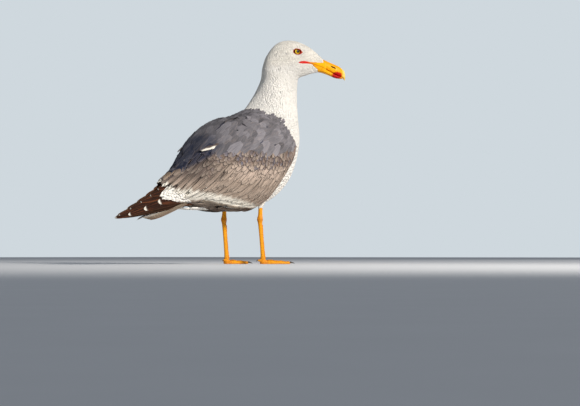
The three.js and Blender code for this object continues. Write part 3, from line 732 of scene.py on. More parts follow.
# tables by place along X, apart from the first, which goes by distance from the middle
neckEdge = {"y": [0, 30, 50, 56], "x": [9, 19, 48, 60]}
greyEdge = {
    "x": [-190, -158, -120, -80, -40, 0, 30, 58], "z": [112, 103, 95, 90, 90, 96, 116, 150], "soft": 3.0,
}
trailing = {
    "x": [-204, -201, -197, -191.5, -183, -174, -162, -150, -140, -122, -100, -75, -50, 0, 20, 40, 55, 63],
    "z": [131, 124, 116, 108, 103, 100.8, 101.5, 104, 106, 105.5, 101.5, 98, 96, 95, 105, 124, 149, 170],
}
whiteBand = {"x": [-205, -196, -188, -175, -160, -150, -140, -120, -100, -75, -50, -30, 5],
        "height": [16, 16, 17, 18, 16, 12, 8, 7, 7, 6, 4, 1.5, -2]}


def neckLine(y):
    # the mantle's front edge: its place along X
    return np.interp(np.abs(y), neckEdge["y"], neckEdge["x"])


def trailingLine(x):
    return np.interp(x, trailing["x"], trailing["z"])


def markingAt(points):
    # white below and ahead, grey over the back and the wings
    x, y, z = xyz(points)
    soft = greyEdge["soft"]
    wobble = 2.2 * np.sin(x * 0.31 + z * 0.17) + 1.6 * np.sin(y * 0.42 + z * 0.23)
    ahead = smoothStep(neckLine(y) - x + wobble, -soft, soft)
    above = smoothStep(z - np.interp(x, greyEdge["x"], greyEdge["z"]), -soft, soft)
    grey = (ahead * above)[..., None]
    back = toward(hues["mantle"], "rearCovert", 1 - smoothStep(z, 174, 188))
    # painted shade between the wings, over the shade line
    back = toward(back, "between", 0.85 * paintedShadeShare(points))
    gull = mix(hues["white"], back, grey)
    # white under the wing's white band; painted shade under the wings, going to black under their tips, and
    # inside the lids
    over = z - trailingLine(x)
    band = smoothStep(np.interp(x, whiteBand["x"], whiteBand["height"]) - over, -2, 1) * (over > -4)
    gull = toward(gull, "tipWhite", band * (np.abs(y) < 62))
    beside = np.interp(-x, [40, 120, 140], [14, 10, 5])
    underWingShade = smoothStep(-x, 34, 60) * smoothStep(z, 84, 87) * fade(over, -5, -2)
    underWingShade = underWingShade * smoothStep(np.abs(y) - beside, 0, 3)
    gull = mix(gull, toward(hues["wornBlackAndShade"], "black", smoothStep(-x, 100, 140)), underWingShade[..., None])
    local = turnHead(points, -1.0)
    # the sunken skin inside the lids is painted dark: painted shade in the socket
    socket = fade(eyeDistance(local), 0.75, 0.95) * (np.abs(local[..., 1]) > 4) * (z > 325)
    return toward(gull, "lidEdge", socket)


def ownPlaces(mesh):
    places = np.empty(len(mesh.vertices) * 3, np.float32)
    mesh.vertices.foreach_get("co", places)
    return places.reshape(-1, 3) * 1000 - ownShift


# skin
skin = {
    # how far the skin lies under the coat's face, the size of the voxels in metres and the numbers of rows
    "coatDepth": 1.9, "headDepth": 1.2, "wingDepth": 1.6, "socket": 3.2, "rump": 5.0, "voxel": 0.0019,
    "ribs": 170, "sides": 96, "wingRows": 60, "wingSides": 24, "thighRows": 24, "thighShare": 0.82,
}
sideSigns = {"right": -1, "left": 1}
stance = {
    "right": {"side": -1, "y": -34, "heel": -1, "foot": 6},
    "left": {"side": 1, "y": 26, "heel": -23, "foot": -16.5},
}
thigh = {
    # height, ahead of the heel, towards the middle, half length and half width
    "stations": [(124, 8, 6, 18, 12), (112, 5, 3, 14, 11), (103, 3, 1, 8.5, 7.5), (96, 1.5, 0, 5, 4.4)],
    "coat": {"stations": (0.5, 2.95), "spacing": 1.7, "coarser": 0.045, "length": 3.4, "half": 0.8,
             "depth": 1.4, "rise": 0.7, "rows": 5, "cols": 5, "fringe": 0.14, "camber": 0.2, "tries": 12000},
}
thighRuns = runsOf(thigh["stations"])
bodySurface = {"at": bodyAt, "outward": -1, "steps": (0.02, 0.02)}


def frameOn(surface, a, b):
    stepA, stepB = surface["steps"]
    at = surface["at"]
    alongA = (at(a + stepA, b) - at(a - stepA, b)) / (2 * stepA)
    alongB = (at(a, b + stepB) - at(a, b - stepB)) / (2 * stepB)
    normal = surface["outward"] * np.cross(alongA, alongB)
    normal /= lengthOf(normal) + 1e-9
    return alongA, alongB, normal


def thighAt(limb, t, angle):
    z, ahead, inward, deep, wide = [run(t) for run in thighRuns]
    x = limb["heel"] + ahead + deep * np.sin(angle)
    y = limb["y"] - limb["side"] * inward + wide * np.cos(angle)
    return stacked(x, y, z)


def makeSkin():
    t, angle = roundGrid(0, lastRib, skin["ribs"], skin["sides"])
    normal = frameOn(bodySurface, t, angle)[2]
    depth = mix(skin["coatDepth"], skin["headDepth"], smoothStep(t, 7, 11))
    outer = bodyAt(t, angle)
    nearEye = eyeDistance(turnHead(outer, -1.0)) + 9 * (outer[..., 2] < 325)
    depth = depth + skin["socket"] * fade(nearEye, 0.45, 1.0)
    depth = depth + skin["rump"] * fade(t, 0.8, 2.4)
    parts = [closedLoft(outer - normal * depth[..., None])]
    shares = np.linspace(0, 1, skin["wingSides"])
    for side in (-1, 1):
        rows = []
        for w in np.linspace(0.12, len(wing["slices"]) - 1.05, skin["wingRows"]):
            outer = wingAt(w, shares, skin["wingDepth"], side)
            edge = np.minimum(1, 4 * np.minimum(shares, 1 - shares) + 0.15)
            inset = skin["wingDepth"] + 0.4 + wingRuns[4](w) * edge
            inner = wingAt(w, shares, inset, side)
            rows.append(np.concatenate([outer, inner[::-1]]))
        parts.append(foldedLoft(np.array(rows)))
    for limb in stance.values():
        rows = thighAt(limb, *roundGrid(0, 3, skin["thighRows"], skin["thighRows"]))
        middle = rows.mean(1, keepdims=True)
        parts.append(closedLoft(middle + (rows - middle) * skin["thighShare"]))
    piece = pieceFrom("skin", *joined(parts), materials["skin"])
    mergeSkin(piece, skin["voxel"])
    tintMesh(piece.data, markingAt(ownPlaces(piece.data)))
    return piece


skinPiece = makeSkin()
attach(skinPiece, "root")
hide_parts("head", "neck", "trunk", "thigh_right", "thigh_left", "wing_right", "wing_left")
print("skin made:", len(skinPiece.data.polygons), "faces")


# the smooth outer form of the back and both wings, as a radius about a lengthwise line
form = {
    "xFrom": -206.0, "xTo": 66.0, "xSteps": 150, "angleSteps": 220, "reach": 140.0, "lowest": -0.9,
    "fill": 7, "blur": 2.2,
    "lineX": [-206, -158, -120, -80, -40, 0, 30, 66], "lineZ": [122, 131, 139, 149.5, 160, 169, 178, 190],
}


def axisHeight(x):
    return np.interp(x, form["lineX"], form["lineZ"])


def shifted(grid, reach, axis):
    # copies of the grid, moved along one axis by up to the reach both ways
    padded = np.pad(grid, [(reach, reach) if k == axis else (0, 0) for k in range(2)], mode="edge")
    return [np.take(padded, range(k, k + grid.shape[axis]), axis) for k in range(2 * reach + 1)]


def slide(grid, reach, axis, pick):
    # largest or smallest value within reach of each place, along one axis
    return pick(shifted(grid, reach, axis), axis=0)


def soften(grid, sigma):
    reach = int(3 * sigma)
    weights = np.exp(-0.5 * (np.arange(-reach, reach + 1) / sigma) ** 2)
    weights /= weights.sum()
    for axis in (0, 1):
        grid = sum(w * copy for w, copy in zip(weights, shifted(grid, reach, axis)))
    return grid


def measureForm(piece):
    mesh = piece.data
    faces = [tuple(f.vertices) for f in mesh.polygons]
    tree = BVHTree.FromPolygons([tuple(p) for p in ownPlaces(mesh)], faces)
    xs = np.linspace(form["xFrom"], form["xTo"], form["xSteps"])
    angles = np.linspace(form["lowest"], math.pi - form["lowest"], form["angleSteps"])
    grid = np.zeros((len(xs), len(angles)))
    reach = form["reach"]
    for i, x in enumerate(xs):
        z = float(axisHeight(x))
        for j, angle in enumerate(angles):
            way = Vector((0, math.cos(angle), math.sin(angle)))
            hit = tree.ray_cast(Vector((x, 0, z)) + way * reach, -way, reach)
            grid[i, j] = reach - hit[3] if hit[0] is not None else 4
    filled = slide(slide(grid, form["fill"], 1, np.max), form["fill"], 1, np.min)
    return soften(filled, form["blur"])


formGrid = measureForm(skinPiece)


def cellOf(value, low, high, count):
    # which cell of an even row of places the value lies in, and how far along it
    place = (np.clip(value, low, high) - low) / (high - low) * (count - 1)
    cell = np.minimum(place.astype(int), count - 2)
    return cell, place - cell


def formAt(x, angle):
    # angle 0 is the left side, a quarter turn the back and a half turn the right side
    i, f = cellOf(x, form["xFrom"], form["xTo"], form["xSteps"])
    j, g = cellOf(angle, form["lowest"], math.pi - form["lowest"], form["angleSteps"])
    near = mix(formGrid[i, j], formGrid[i + 1, j], f)
    far = mix(formGrid[i, j + 1], formGrid[i + 1, j + 1], f)
    radius = mix(near, far, g) + skin["wingDepth"]
    return stacked(x + 0 * angle, radius * np.cos(angle), axisHeight(x) + radius * np.sin(angle))


formSurface = {"at": formAt, "outward": 1, "steps": (3.0, 0.05)}
print("outer form measured")


# vanes
bakePatch = 0.003  # the size of one short vane in the bake, as a share of the map


def newCoat(islands=False):
    # islands: each vane gets its own large patch of the bake, for long patterned feathers
    lists = {name: [] for name in ("points", "faces", "under", "vane", "bake", "tint", "tone")}
    return {**lists, "count": 0, "islands": islands}


def stepsFor(alongA, alongB, way):
    # parameter steps that move one millimetre along a tangent
    aa = (alongA * alongA).sum(-1)
    ab = (alongA * alongB).sum(-1)
    bb = (alongB * alongB).sum(-1)
    wa = (way * alongA).sum(-1)
    wb = (way * alongB).sum(-1)
    det = np.maximum(aa * bb - ab * ab, 1e-6)
    return (wa * bb - wb * ab) / det, (wb * aa - wa * ab) / det


def vaneProfile(u, root=0.4, widest=0.58, tip=0.36):
    # half width as a share, from a narrow root to a rounded tip
    rising = root + (1 - root) * np.sin(np.minimum(u / widest, 1) * math.pi / 2)
    beyond = np.clip(u - widest, 0, 1) / (1 - widest)
    falling = np.sqrt(np.clip(1 - (1 - tip ** 2) * beyond ** 2, 0, 1))
    return rising * falling


def layVanes(coat, surface, a, b, look, heading, tint):
    # look holds, for each vane or for all: length, half width, depth of the root, rise of the tip,
    # a turn about the normal, rows, columns, camber, roll and fringe
    n = len(a)
    rows, cols = look["rows"], look["cols"]
    us = np.linspace(0, 1, rows) ** look.get("crowd", 0.85)
    vs = np.linspace(-1, 1, cols)
    length, half = np.broadcast_to(look["length"], n), np.broadcast_to(look["half"], n)
    turn = np.broadcast_to(look.get("turn", 0.0), n)[:, None]
    depth, rise = np.broadcast_to(look["depth"], n), np.broadcast_to(look["rise"], n)
    camber = look.get("camber", 0.12)
    fromTip = look.get("fromTip", False)
    placesA, placesB = a.astype(float).copy(), b.astype(float).copy()
    order = range(rows - 1, -1, -1) if fromTip else range(rows)
    grid = np.zeros((n, rows, cols, 3))
    previous = None
    for r in order:
        if previous is not None:
            step = (us[r] - us[previous]) * length
            stepA, stepB = stepsFor(alongA, alongB, forward)
            placesA, placesB = placesA + stepA * step, placesB + stepB * step
        alongA, alongB, normal = frameOn(surface, placesA, placesB)
        forward = heading(surface["at"](placesA, placesB), alongA)
        forward = forward - normal * (forward * normal).sum(-1, keepdims=True)
        forward /= lengthOf(forward) + 1e-9
        sideways = np.cross(normal, forward)
        forward = forward * np.cos(turn) + sideways * np.sin(turn)
        sideways = np.cross(normal, forward)
        crossA, crossB = stepsFor(alongA, alongB, sideways)
        width = half * vaneProfile(us[r], **look.get("shape", {}))
        height = -depth * (1 - us[r]) ** 1.2 + rise * us[r] ** 2
        roll = look.get("roll", 0.0) * (0.3 + 0.7 * us[r])
        for c, v in enumerate(vs):
            w = width * v
            place = surface["at"](placesA + crossA * w, placesB + crossB * w)
            lift = height + roll * w - camber * half * v * v * (0.4 + 0.6 * us[r])
            grid[:, r, c] = place + normal * lift[:, None]
            if r == rows - 1 and look.get("fringe"):
                ragged = look["fringe"] * length * (random.random(n) - 0.3 + 0.5 * (c % 2))
                grid[:, r, c] -= forward * ragged[:, None]
        previous = r
    addVanes(coat, grid, us, vs, a, b, tint)


def addVanes(coat, grid, us, vs, bakeA, bakeB, tint):
    # each vane is a closed thin form: a cambered face above and a flat one below
    n, rows, cols = grid.shape[:3]
    r, c = np.meshgrid(np.arange(rows - 1), np.arange(cols - 1), indexing="ij")
    corner = (r * cols + c).ravel()
    top = np.concatenate([
        np.stack([corner, corner + cols, corner + cols + 1], 1),
        np.stack([corner, corner + cols + 1, corner + 1], 1),
    ])
    left = np.arange(rows - 1) * cols
    right = left + cols - 1
    last = (rows - 1) * cols
    caps = [(last, last + k + 1, last + k) for k in range(cols - 2, 0, -1)]
    caps += [(0, k, k + 1) for k in range(1, cols - 1)]
    under = np.concatenate([
        np.stack([left, right, right + cols], 1), np.stack([left, right + cols, left + cols], 1),
        np.array(caps),
    ])
    one = np.concatenate([top, under])
    base = coat["count"] + np.arange(n)[:, None, None] * rows * cols
    coat["faces"].append((one[None] + base).reshape(-1, 3))
    coat["under"].append(np.tile(np.arange(len(one)) >= len(top), n))
    coat["points"].append(grid.reshape(-1, 3))
    coat["count"] += n * rows * cols
    u = np.broadcast_to(us[None, :, None], (n, rows, cols))
    v = np.broadcast_to(vs[None, None, :], (n, rows, cols))
    coat["vane"].append(stacked(u, v * 0.5 + 0.5).reshape(-1, 2))
    patch = stacked((u - 0.5) * bakePatch, v * 0.5 * bakePatch)
    coat["bake"].append([bakeA, bakeB, patch.reshape(n, -1, 2)])
    coat["tint"].append(tint(grid, u, v).reshape(-1, 3))
    coat["tone"].append(np.repeat(random.random(n), rows * cols))


def bakeMap(coat):
    # roots at their own places on the surface's unwrap, scaled to fill the map
    if coat["islands"]:
        sizes = np.concatenate([np.full(len(part[0]), part[2].shape[1]) for part in coat["bake"]])
        across = math.ceil(math.sqrt(len(sizes) / 4))
        down = math.ceil(len(sizes) / across)
        k = np.repeat(np.arange(len(sizes)), sizes)
        cell = np.stack([k % across, k // across], 1)
        return (cell + 0.06 + 0.88 * np.concatenate(coat["vane"])) / [across, down]
    a = np.concatenate([part[0] for part in coat["bake"]])
    b = np.concatenate([part[1] for part in coat["bake"]])
    low = np.array([a.min(), b.min()])
    span = np.maximum(np.array([a.max(), b.max()]) - low, 1e-6)
    maps = []
    for partA, partB, offsets in coat["bake"]:
        root = 0.03 + 0.94 * (np.stack([partA, partB], 1) - low) / span
        maps.append((root[:, None] + offsets).reshape(-1, 2))
    return np.concatenate(maps)


def coatPiece(name, coat, material):
    points = toWorld(np.concatenate(coat["points"])).astype(np.float32)
    faces = np.concatenate(coat["faces"]).astype(np.int32)
    mesh = bpy.data.meshes.new(name)
    mesh.vertices.add(len(points))
    mesh.vertices.foreach_set("co", points.ravel())
    mesh.loops.add(faces.size)
    mesh.loops.foreach_set("vertex_index", faces.ravel())
    mesh.polygons.add(len(faces))
    mesh.polygons.foreach_set("loop_start", np.arange(0, faces.size, 3, dtype=np.int32))
    flat = mesh.attributes.new("sharp_face", "BOOLEAN", "FACE")
    flat.data.foreach_set("value", np.concatenate(coat["under"]))
    for label, values in (("OFBake", bakeMap(coat)), ("Vane", np.concatenate(coat["vane"]))):
        layer = mesh.uv_layers.new(name=label)
        layer.data.foreach_set("uv", values[faces.ravel()].astype(np.float32).ravel())
    tintMesh(mesh, np.concatenate(coat["tint"]))
    tone = mesh.attributes.new("tone", "FLOAT", "POINT")
    tone.data.foreach_set("value", np.concatenate(coat["tone"]).astype(np.float32))
    mesh.materials.append(material)
    mesh.update(calc_edges=True)
    piece = addObject(name, mesh)
    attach(piece, "root")
    print(name, "made:", len(faces), "triangles")
    return piece


# white coat
coatNames = ("head", "neck", "body")
coatLooks = {
    # one value for each of the three; finer is where the spacing goes over to the finer one, by X or height
    "ribs": ((9.9, 15.02), (6.1, 9.95), (-0.05, 6.2)), "spacing": ((1.0, 1.35), (1.2, 1.8), (1.7, 2.8)),
    "finer": ((70, 125), (262, 325), (180, 262)), "length": (5.0, 5.2, 5.2), "half": (1.15, 1.4, 1.45),
    "depth": (0.6, 0.6, 0.65), "rise": (0.04, 0.03, 0.03), "rows": (5, 5, 6), "cols": (3, 3, 3),
    "tries": (330000, 230000, 300000), "spread": (0.12, 0.1, 0.09),
}
# a faint grey streak behind each eye, which runs back and down
streak = {"x": 89.6, "z": 358.4, "back": 0.69, "down": 0.73, "half": 1.3, "share": 0.45}
gape = {
    # outline of the bare skin behind the bill, as places along X with the heights of both its edges
    "x": [110.8, 114.5, 120.4, 126, 133.8, 137.5, 142, 147.5, 151, 156, 163.5, 168],
    "top": [338.2, 340, 341, 340.3, 339.3, 339.3, 339.6, 340, 340.2, 340.2, 341, 342],
    "low": [337.5, 336.9, 336.9, 337.1, 336.8, 335.8, 332.4, 329.4, 325.8, 322, 319, 318],
    "redTo": 131, "columns": 90, "rows": 30,
}


def inGape(local, margin=0.0):
    x, _, z = xyz(local)
    top = np.interp(x, gape["x"], gape["top"]) + margin
    low = np.interp(x, gape["x"], gape["low"]) - margin
    return (x > gape["x"][0] - margin) & (z < top) & (z > low)


def bodyHeading(points, alongA):
    # back along the body; on the head the lie parts round the eye and runs level along the gape
    back = -alongA / lengthOf(alongA)
    local = turnHead(points, -1.0)
    onHead = smoothStep(points[..., 2], 318, 330)[..., None]
    sideOn = smoothStep(np.abs(local[..., 1]), 5, 11)[..., None]
    centre = np.array([body["turnAxisX"], 0, 0])
    flow = turnHead(back + centre, -1.0) - centre
    away = local - [eye["x"], 0, eye["z"]]
    away[..., 1] = 0
    away /= [ring["length"], 1, ring["height"]]
    distance = np.maximum(lengthOf(away), 0.9)
    outward = away / distance
    bend = (2 * (flow * outward).sum(-1, keepdims=True) * outward - flow) / distance ** 2
    flow = flow - bend * onHead * sideOn * [1, 0, 1]
    level = np.exp(-((local[..., 2] - 339) / 4.5) ** 2) * smoothStep(local[..., 0], 106, 114)
    flow = mix(flow, np.array([-1.0, 0, 0]), level[..., None] * sideOn * onHead)
    return mix(back, turnHead(flow + centre) - centre, onHead)


def vaneTint(base, edge=None, edgeShare=0.4, edgeFrom=0.55, rootShadow=0.0, darkTo=0.8):
    # base is one colour, one for each vane or a rule by place; the root is darkened as painted shadow and the
    # edge mixed in
    def tint(grid, u, v):
        if callable(base):
            colours = base(grid)
        else:
            colours = np.broadcast_to(base[:, None, None] if np.ndim(base) > 1 else base, grid.shape)
        colours = colours * (1 - rootShadow * fade(u, 0.35, darkTo))[..., None]
        if edge is None:
            return colours
        outer = np.maximum(np.abs(v), 1.1 * u - 0.1)
        return toward(colours, edge, edgeShare * smoothStep(outer, edgeFrom, 1.0))
    return tint


def perVane(values):
    # one value for each vane, ready to be spread over its points
    return values[:, None, None, None]


def scatter(surface, rangeA, rangeB, spacing, tries, keep):
    # roots spread evenly, none nearer than the spacing there
    a, b = random.uniform(*rangeA, tries), random.uniform(*rangeB, tries)
    alongA, alongB, _ = frameOn(surface, a, b)
    places = surface["at"](a, b)
    gap = spacing(places)
    chance = np.linalg.norm(np.cross(alongA, alongB), axis=-1) / gap ** 2
    kept = np.flatnonzero((random.random(tries) < chance / np.quantile(chance, 0.98)) & keep(places))
    tree = KDTree(len(kept))
    for i, k in enumerate(kept):
        tree.insert(places[k], i)
    tree.balance()
    free = np.ones(len(kept), bool)
    chosen = []
    for i, k in enumerate(kept):
        if free[i]:
            chosen.append(k)
            for _, j, _ in tree.find_range(places[k], gap[k]):
                free[j] = False
    return a[chosen], b[chosen], gap[chosen]


def coveredBy(points, margin):
    # true where the folded wings or the shoulder feathers lie over the place by more than the margin
    x, y, z = xyz(points)
    rise = z - axisHeight(x)
    angle = np.arctan2(rise, y)
    angle = np.where(angle < -math.pi / 2, angle + 2 * math.pi, angle)
    outer = formAt(x, np.clip(angle, form["lowest"], math.pi - form["lowest"]))
    inForm = (angle > form["lowest"] + 0.35) & (angle < math.pi - form["lowest"] - 0.35)
    reach = np.hypot(outer[..., 1], outer[..., 2] - axisHeight(x))
    return inForm & (x < 60) & (x > -205) & (reach - np.hypot(y, rise) > margin)


def keepWhite(points):
    local = turnHead(points, -1.0)
    onFace = (points[..., 2] > 325) & (np.abs(local[..., 1]) > 4)
    bare = onFace & ((eyeDistance(local) < ring["clear"]) | inGape(local, 0.4))
    greyShare = 1 - markingAt(points)[..., 2] / hues["white"][2]
    return ~bare & (greyShare < 0.35) & ~coveredBy(points, 7)


def makeWhiteCoat(name, look):
    low, high = look["spacing"]

    def spacing(points):
        # finest on the face, coarser towards the back of the head and down the neck
        place = turnHead(points, -1.0)[..., 0] if name == "head" else points[..., 2]
        return mix(high, low, smoothStep(place, *look["finer"]))

    a, b, gap = scatter(bodySurface, look["ribs"], (0, 2 * math.pi), spacing, look["tries"], keepWhite)
    n = len(a)
    points = bodyAt(a, b)
    local = turnHead(points, -1.0)
    onHead = (points[..., 2] > 322) & (np.abs(local[..., 1]) > 4)
    nearEye = np.where(onHead, eyeDistance(local), 9)
    nearGape = onHead & inGape(local, 5)
    shorter = np.where(nearEye < 1.5, 0.55 + 0.45 * smoothStep(nearEye, 1.0, 1.5), 1)
    shorter = shorter * np.where(nearGape, 0.6, 1)
    length = gap * look["length"] * random.uniform(0.85, 1.15, n) * shorter
    # a few vanes of the neck and body stand up a little
    lift = np.where(random.random(n) < 0.04, 0.2, 0) * (name != "head")
    warm = 0.5 * smoothStep(points[..., 2], 330, 345)
    base = toward(hues["white"], "warmWhite", np.clip(0.3 * random.random(n) + warm, 0, 1))
    x, z = local[:, 0] - streak["x"], local[:, 2] - streak["z"]
    along, aside = x * streak["back"] - z * streak["down"], x * streak["down"] + z * streak["back"]
    grey = np.exp(-(aside / streak["half"]) ** 2) * smoothStep(along, -1, 2) * fade(along, 6, 10)
    base = toward(base, "bandGrey", streak["share"] * (grey * onHead) * (random.random(n) < 0.7))
    coat = newCoat()
    layVanes(coat, bodySurface, a, b, {
        **look, "length": length, "half": gap * look["half"] * (0.6 + 0.4 * shorter),
        "rise": look["rise"] * shorter + lift, "turn": random.normal(0, look["spread"], n) * shorter,
        "camber": 0.05, "shape": {"tip": 0.12, "widest": 0.45},
    }, bodyHeading, vaneTint(base))
    piece = coatPiece("coat_" + name, coat, materials["whitePlumage"])


def makeThighCoat():
    look = thigh["coat"]
    coat = newCoat()
    for limb in stance.values():
        surface = {"at": lambda t, angle: thighAt(limb, t, angle), "outward": -1, "steps": (0.02, 0.02)}
        a, b, gap = scatter(surface, look["stations"], (0, 2 * math.pi),
                lambda points: look["spacing"] + (points[..., 2] - 96) * look["coarser"],
                look["tries"], lambda points: True)
        n = len(a)

        def down(points, alongA):
            return alongA / lengthOf(alongA)

        layVanes(coat, surface, a, b, {
            **look, "length": gap * look["length"] * random.uniform(0.8, 1.1, n), "half": gap * look["half"],
            "turn": random.normal(0, 0.16, n),
        }, down, vaneTint(toward(hues["white"], "warmWhite", random.random(n))))
    piece = coatPiece("coat_thighs", coat, materials["whitePlumage"])


for coatName, coatLook in looksOf(coatNames, coatLooks).items():
    makeWhiteCoat(coatName, coatLook)
makeThighCoat()


# mantle and shoulder feathers, laid over the outer form
mantle = {
    "spacing": (3.2, 10.0), "length": 3.0, "half": 0.86, "depth": 1.9, "rise": 2.2, "rows": 9, "cols": 7,
    "fringe": 0.045, "camber": 0.12, "shape": {"tip": 0.3, "widest": 0.55}, "tries": 200000,
    # the second range: how much painted shade between the wings each vane takes
    "shade": (0.62, 1.3), "between": (0.55, 0.97), "ragged": 2.4,
    # the roots' low edge over the folded wing, and their reach from the middle behind it
    "x": [-140, -105, -50, 0, 40, 60], "z": [181, 183, 181, 183, 183, 192],
    "rearX": [128, 150, 172], "rearHalf": [20, 11, 5],
}


def mantleHeading(points, alongA):
    # back and down the slope of the body, a little outwards over the shoulders
    x, y = points[..., 0], points[..., 1]
    outward = np.sign(y) * np.interp(np.abs(y), [0, 12, 45], [0, 0.2, 0.06]) * smoothStep(x, -80, 40)
    fall = np.interp(x, [-190, -60, 20, 60], [0.62, 0.5, 0.42, 0.5])
    return stacked(-np.ones_like(x), outward, -fall)


def underShoulder(x):
    return np.interp(x, mantle["x"], mantle["z"])


def mantleRoots(points):
    x, y, z = xyz(points)
    ahead = x < neckLine(y) + 1.3 * np.sin(y * 0.5 + z * 0.21)
    overBack = (x > -128) & (z > underShoulder(x - 22) + 9)
    behind = (x > -172) & (np.abs(y) < np.interp(-x, mantle["rearX"], mantle["rearHalf"]))
    return ahead & (np.abs(y) < 64) & (overBack | behind)


def mantleSpacing(points):
    back = neckLine(points[..., 1]) - points[..., 0]
    return mix(*mantle["spacing"], smoothStep(back, 0, 60))


def mantleHue(points):
    # worn and warmer low on the shoulder, darker towards the rear and darkest between the wings
    x, _, z = xyz(points)
    low = fade(z, 186, 218) * smoothStep(x, -80, 20)
    colours = toward(hues["mantle"], "mantleLow", 0.9 * low)
    colours = toward(colours, "mantleRear", smoothStep(-x, 40, 100))
    return toward(colours, "rearCovert", smoothStep(-x, 112, 130))


def makeMantle():
    span = (form["lowest"], math.pi - form["lowest"])
    a, b, gap = scatter(formSurface, (-175, 64), span, mantleSpacing, mantle["tries"], mantleRoots)
    n = len(a)
    places = formAt(a, b)
    x, _, z = xyz(places)
    worn = perVane(smoothStep(random.random(n), 0.6, 1.0) * 0.5 * fade(-x, 90, 130))
    shade = random.uniform(*mantle["shade"], n)
    # how much of the painted shade between the wings each vane takes
    shadeStrength = perVane(random.uniform(*mantle["between"], n))
    # broad, weak patches of light and dark across the back
    shade = perVane(shade * (1 + 0.12 * np.sin(x * 0.13 + z * 0.05) * np.sin(z * 0.16 - x * 0.04)))

    def base(grid):
        return mix(mantleHue(grid), hues["wornMantle"], worn)

    def tint(grid, u, v):
        # the exposed root of each vane is dark as painted shadow under the vane above, so the feathers show
        # as scallops
        colours = vaneTint(base, "mantleEdge", 0.6, edgeFrom=0.8, rootShadow=0.8, darkTo=1.15)(grid, u, v)
        # painted shade between the wings, over the shade line
        return mix(colours * shade, hues["between"], shadeStrength * paintedShadeShare(grid)[..., None])

    length = gap * mantle["length"] * random.uniform(0.9, 1.15, n)
    long = smoothStep(-x, 20, 100)
    ragged = (random.random(n) < 0.3) * random.uniform(0, mantle["ragged"], n) * smoothStep(gap, 5, 8)
    coat = newCoat()
    layVanes(coat, formSurface, a, b, {
        **mantle, "length": length * (1 + 0.25 * long), "half": gap * mantle["half"],
        "rise": mantle["rise"] * (0.4 + 0.06 * gap) + ragged, "turn": random.normal(0, 0.16, n),
    }, mantleHeading, tint)
    coatPiece("coat_mantle", coat, materials["mantlePlumage"])


makeMantle()


# wing feathers, laid over each wing's outer face and placed by their tips
sliceTable = np.linspace(-0.5, len(wing["slices"]) - 0.4, 500)
tractKeys = ("x", "above", "ragged", "length", "half", "depth", "rise", "panel", "hue", "fall")
tractRows = {
    # tips from X to X by a step, their height over the trailing line and its raggedness, measures of each,
    # whether they lie in the panel or among the coverts, and a hue and a fall of their own
    # the under row is a dark sheet of feathers: painted shade where the belly lies in shadow below the folded
    # wing
    "under": ((-150, -28, 9), -11, 1.3, 52, 5.5, 3.2, -0.8, True, "wornBlackAndShade", 10),
    "strip": ((-150, -32, 6.5), -5.0, 1.2, 60, 4.6, 2.6, -0.3, True, "strip", 12),
    "secondaries": ((-204, 4, 4.5), 0, 1.2, 70, 6.0, 1.6, 0.1, True, None, None),
    "greater": ((-200, 60, 2.7), 11, 5, 74, 3.4, 1.5, 0.3, False, None, None),
    "upper": ((-196, 60, 2.9), 35, 9, 58, 3.2, 1.3, 0.3, False, None, None),
    "median": ((-192, 64, 4.6), 54, 6, 36, 4.6, 1.5, 0.8, False, None, None),
}
tracts = {name: dict(zip(tractKeys, row)) for name, row in tractRows.items()}
tractVane = {
    "rows": 12, "cols": 5, "crowd": 0.75, "fringe": 0.02, "camber": 0.05, "fromTip": True,
    "shape": {"tip": 0.08, "widest": 0.66, "root": 0.5},
}
lesser = {
    "spacing": 4.2, "length": 3.9, "half": 0.95, "depth": 1.4, "rise": 0.6, "rows": 7, "cols": 5,
    "fringe": 0.05,
    "camber": 0.1, "shape": {"tip": 0.2, "widest": 0.5}, "tries": 50000,
}
tertials = [
    # tip X and Z, length, half width, rise and hue
    (-201, 127, 84, 6.0, 1.2, "rearCovert"), (-197, 131.5, 88, 6.5, 1.6, "tan"),
    (-180, 139, 96, 6.5, 1.2, "brownAndShade"),
]
tertialVane = {
    "depth": 1.2, "rows": 16, "cols": 7, "crowd": 0.75, "fringe": 0.01, "camber": 0.12, "fromTip": True,
    "shape": {"tip": 0.2, "widest": 0.6, "root": 0.4},
}
scapulars = [
    # raised shoulder feathers with a white lower border: tip X and Z, length, half width, rise
    (-152, 168, 34, 3.2, 1.6), (-131, 177.5, 68, 5.4, 5.0),
]
scapularVane = {
    "depth": 1.0, "rows": 22, "cols": 9, "crowd": 0.75, "fringe": 0.03, "camber": 0.3, "fromTip": True,
    "shape": {"tip": 0.05, "widest": 0.5, "root": 0.3},
}


def wingPlaces(x, z):
    # slice and share of a place on the wing's outer face, by its X and Z
    t = np.interp(-x, -wingRuns[0](sliceTable), sliceTable)
    top, bottom = wingRuns[1](t), wingRuns[2](t)
    lift = np.clip((z - (top + bottom) / 2) / ((top - bottom) / 2), -0.995, 0.995)
    angle = np.arcsin(signedPower(lift, wing["roundness"] / 2)) / (math.pi / 2)
    upper = mix(wing["upperFront"], wing["upperRear"], smoothStep(t, 1, 5))
    return t, (angle + wing["lower"]) / (upper + wing["lower"])


def backAndDown(fall):
    return stacked(-np.cos(fall), 0 * fall, -np.sin(fall))


def levelWay(points, degrees):
    # the same way for all the points, falling by so many degrees
    fall = math.radians(degrees)
    return np.broadcast_to([-math.cos(fall), 0, -math.sin(fall)], points.shape)


def wingHeading(points, alongA):
    # back and down, steeper towards the wrist
    return backAndDown(np.interp(points[..., 0], [-195, -120, -50, 20, 55], np.radians([33, 37, 43, 50, 58])))


def wingSurface(side):
    return {"at": lambda t, share: wingAt(t, share, 0.0, side), "outward": side, "steps": (0.04, 0.02)}


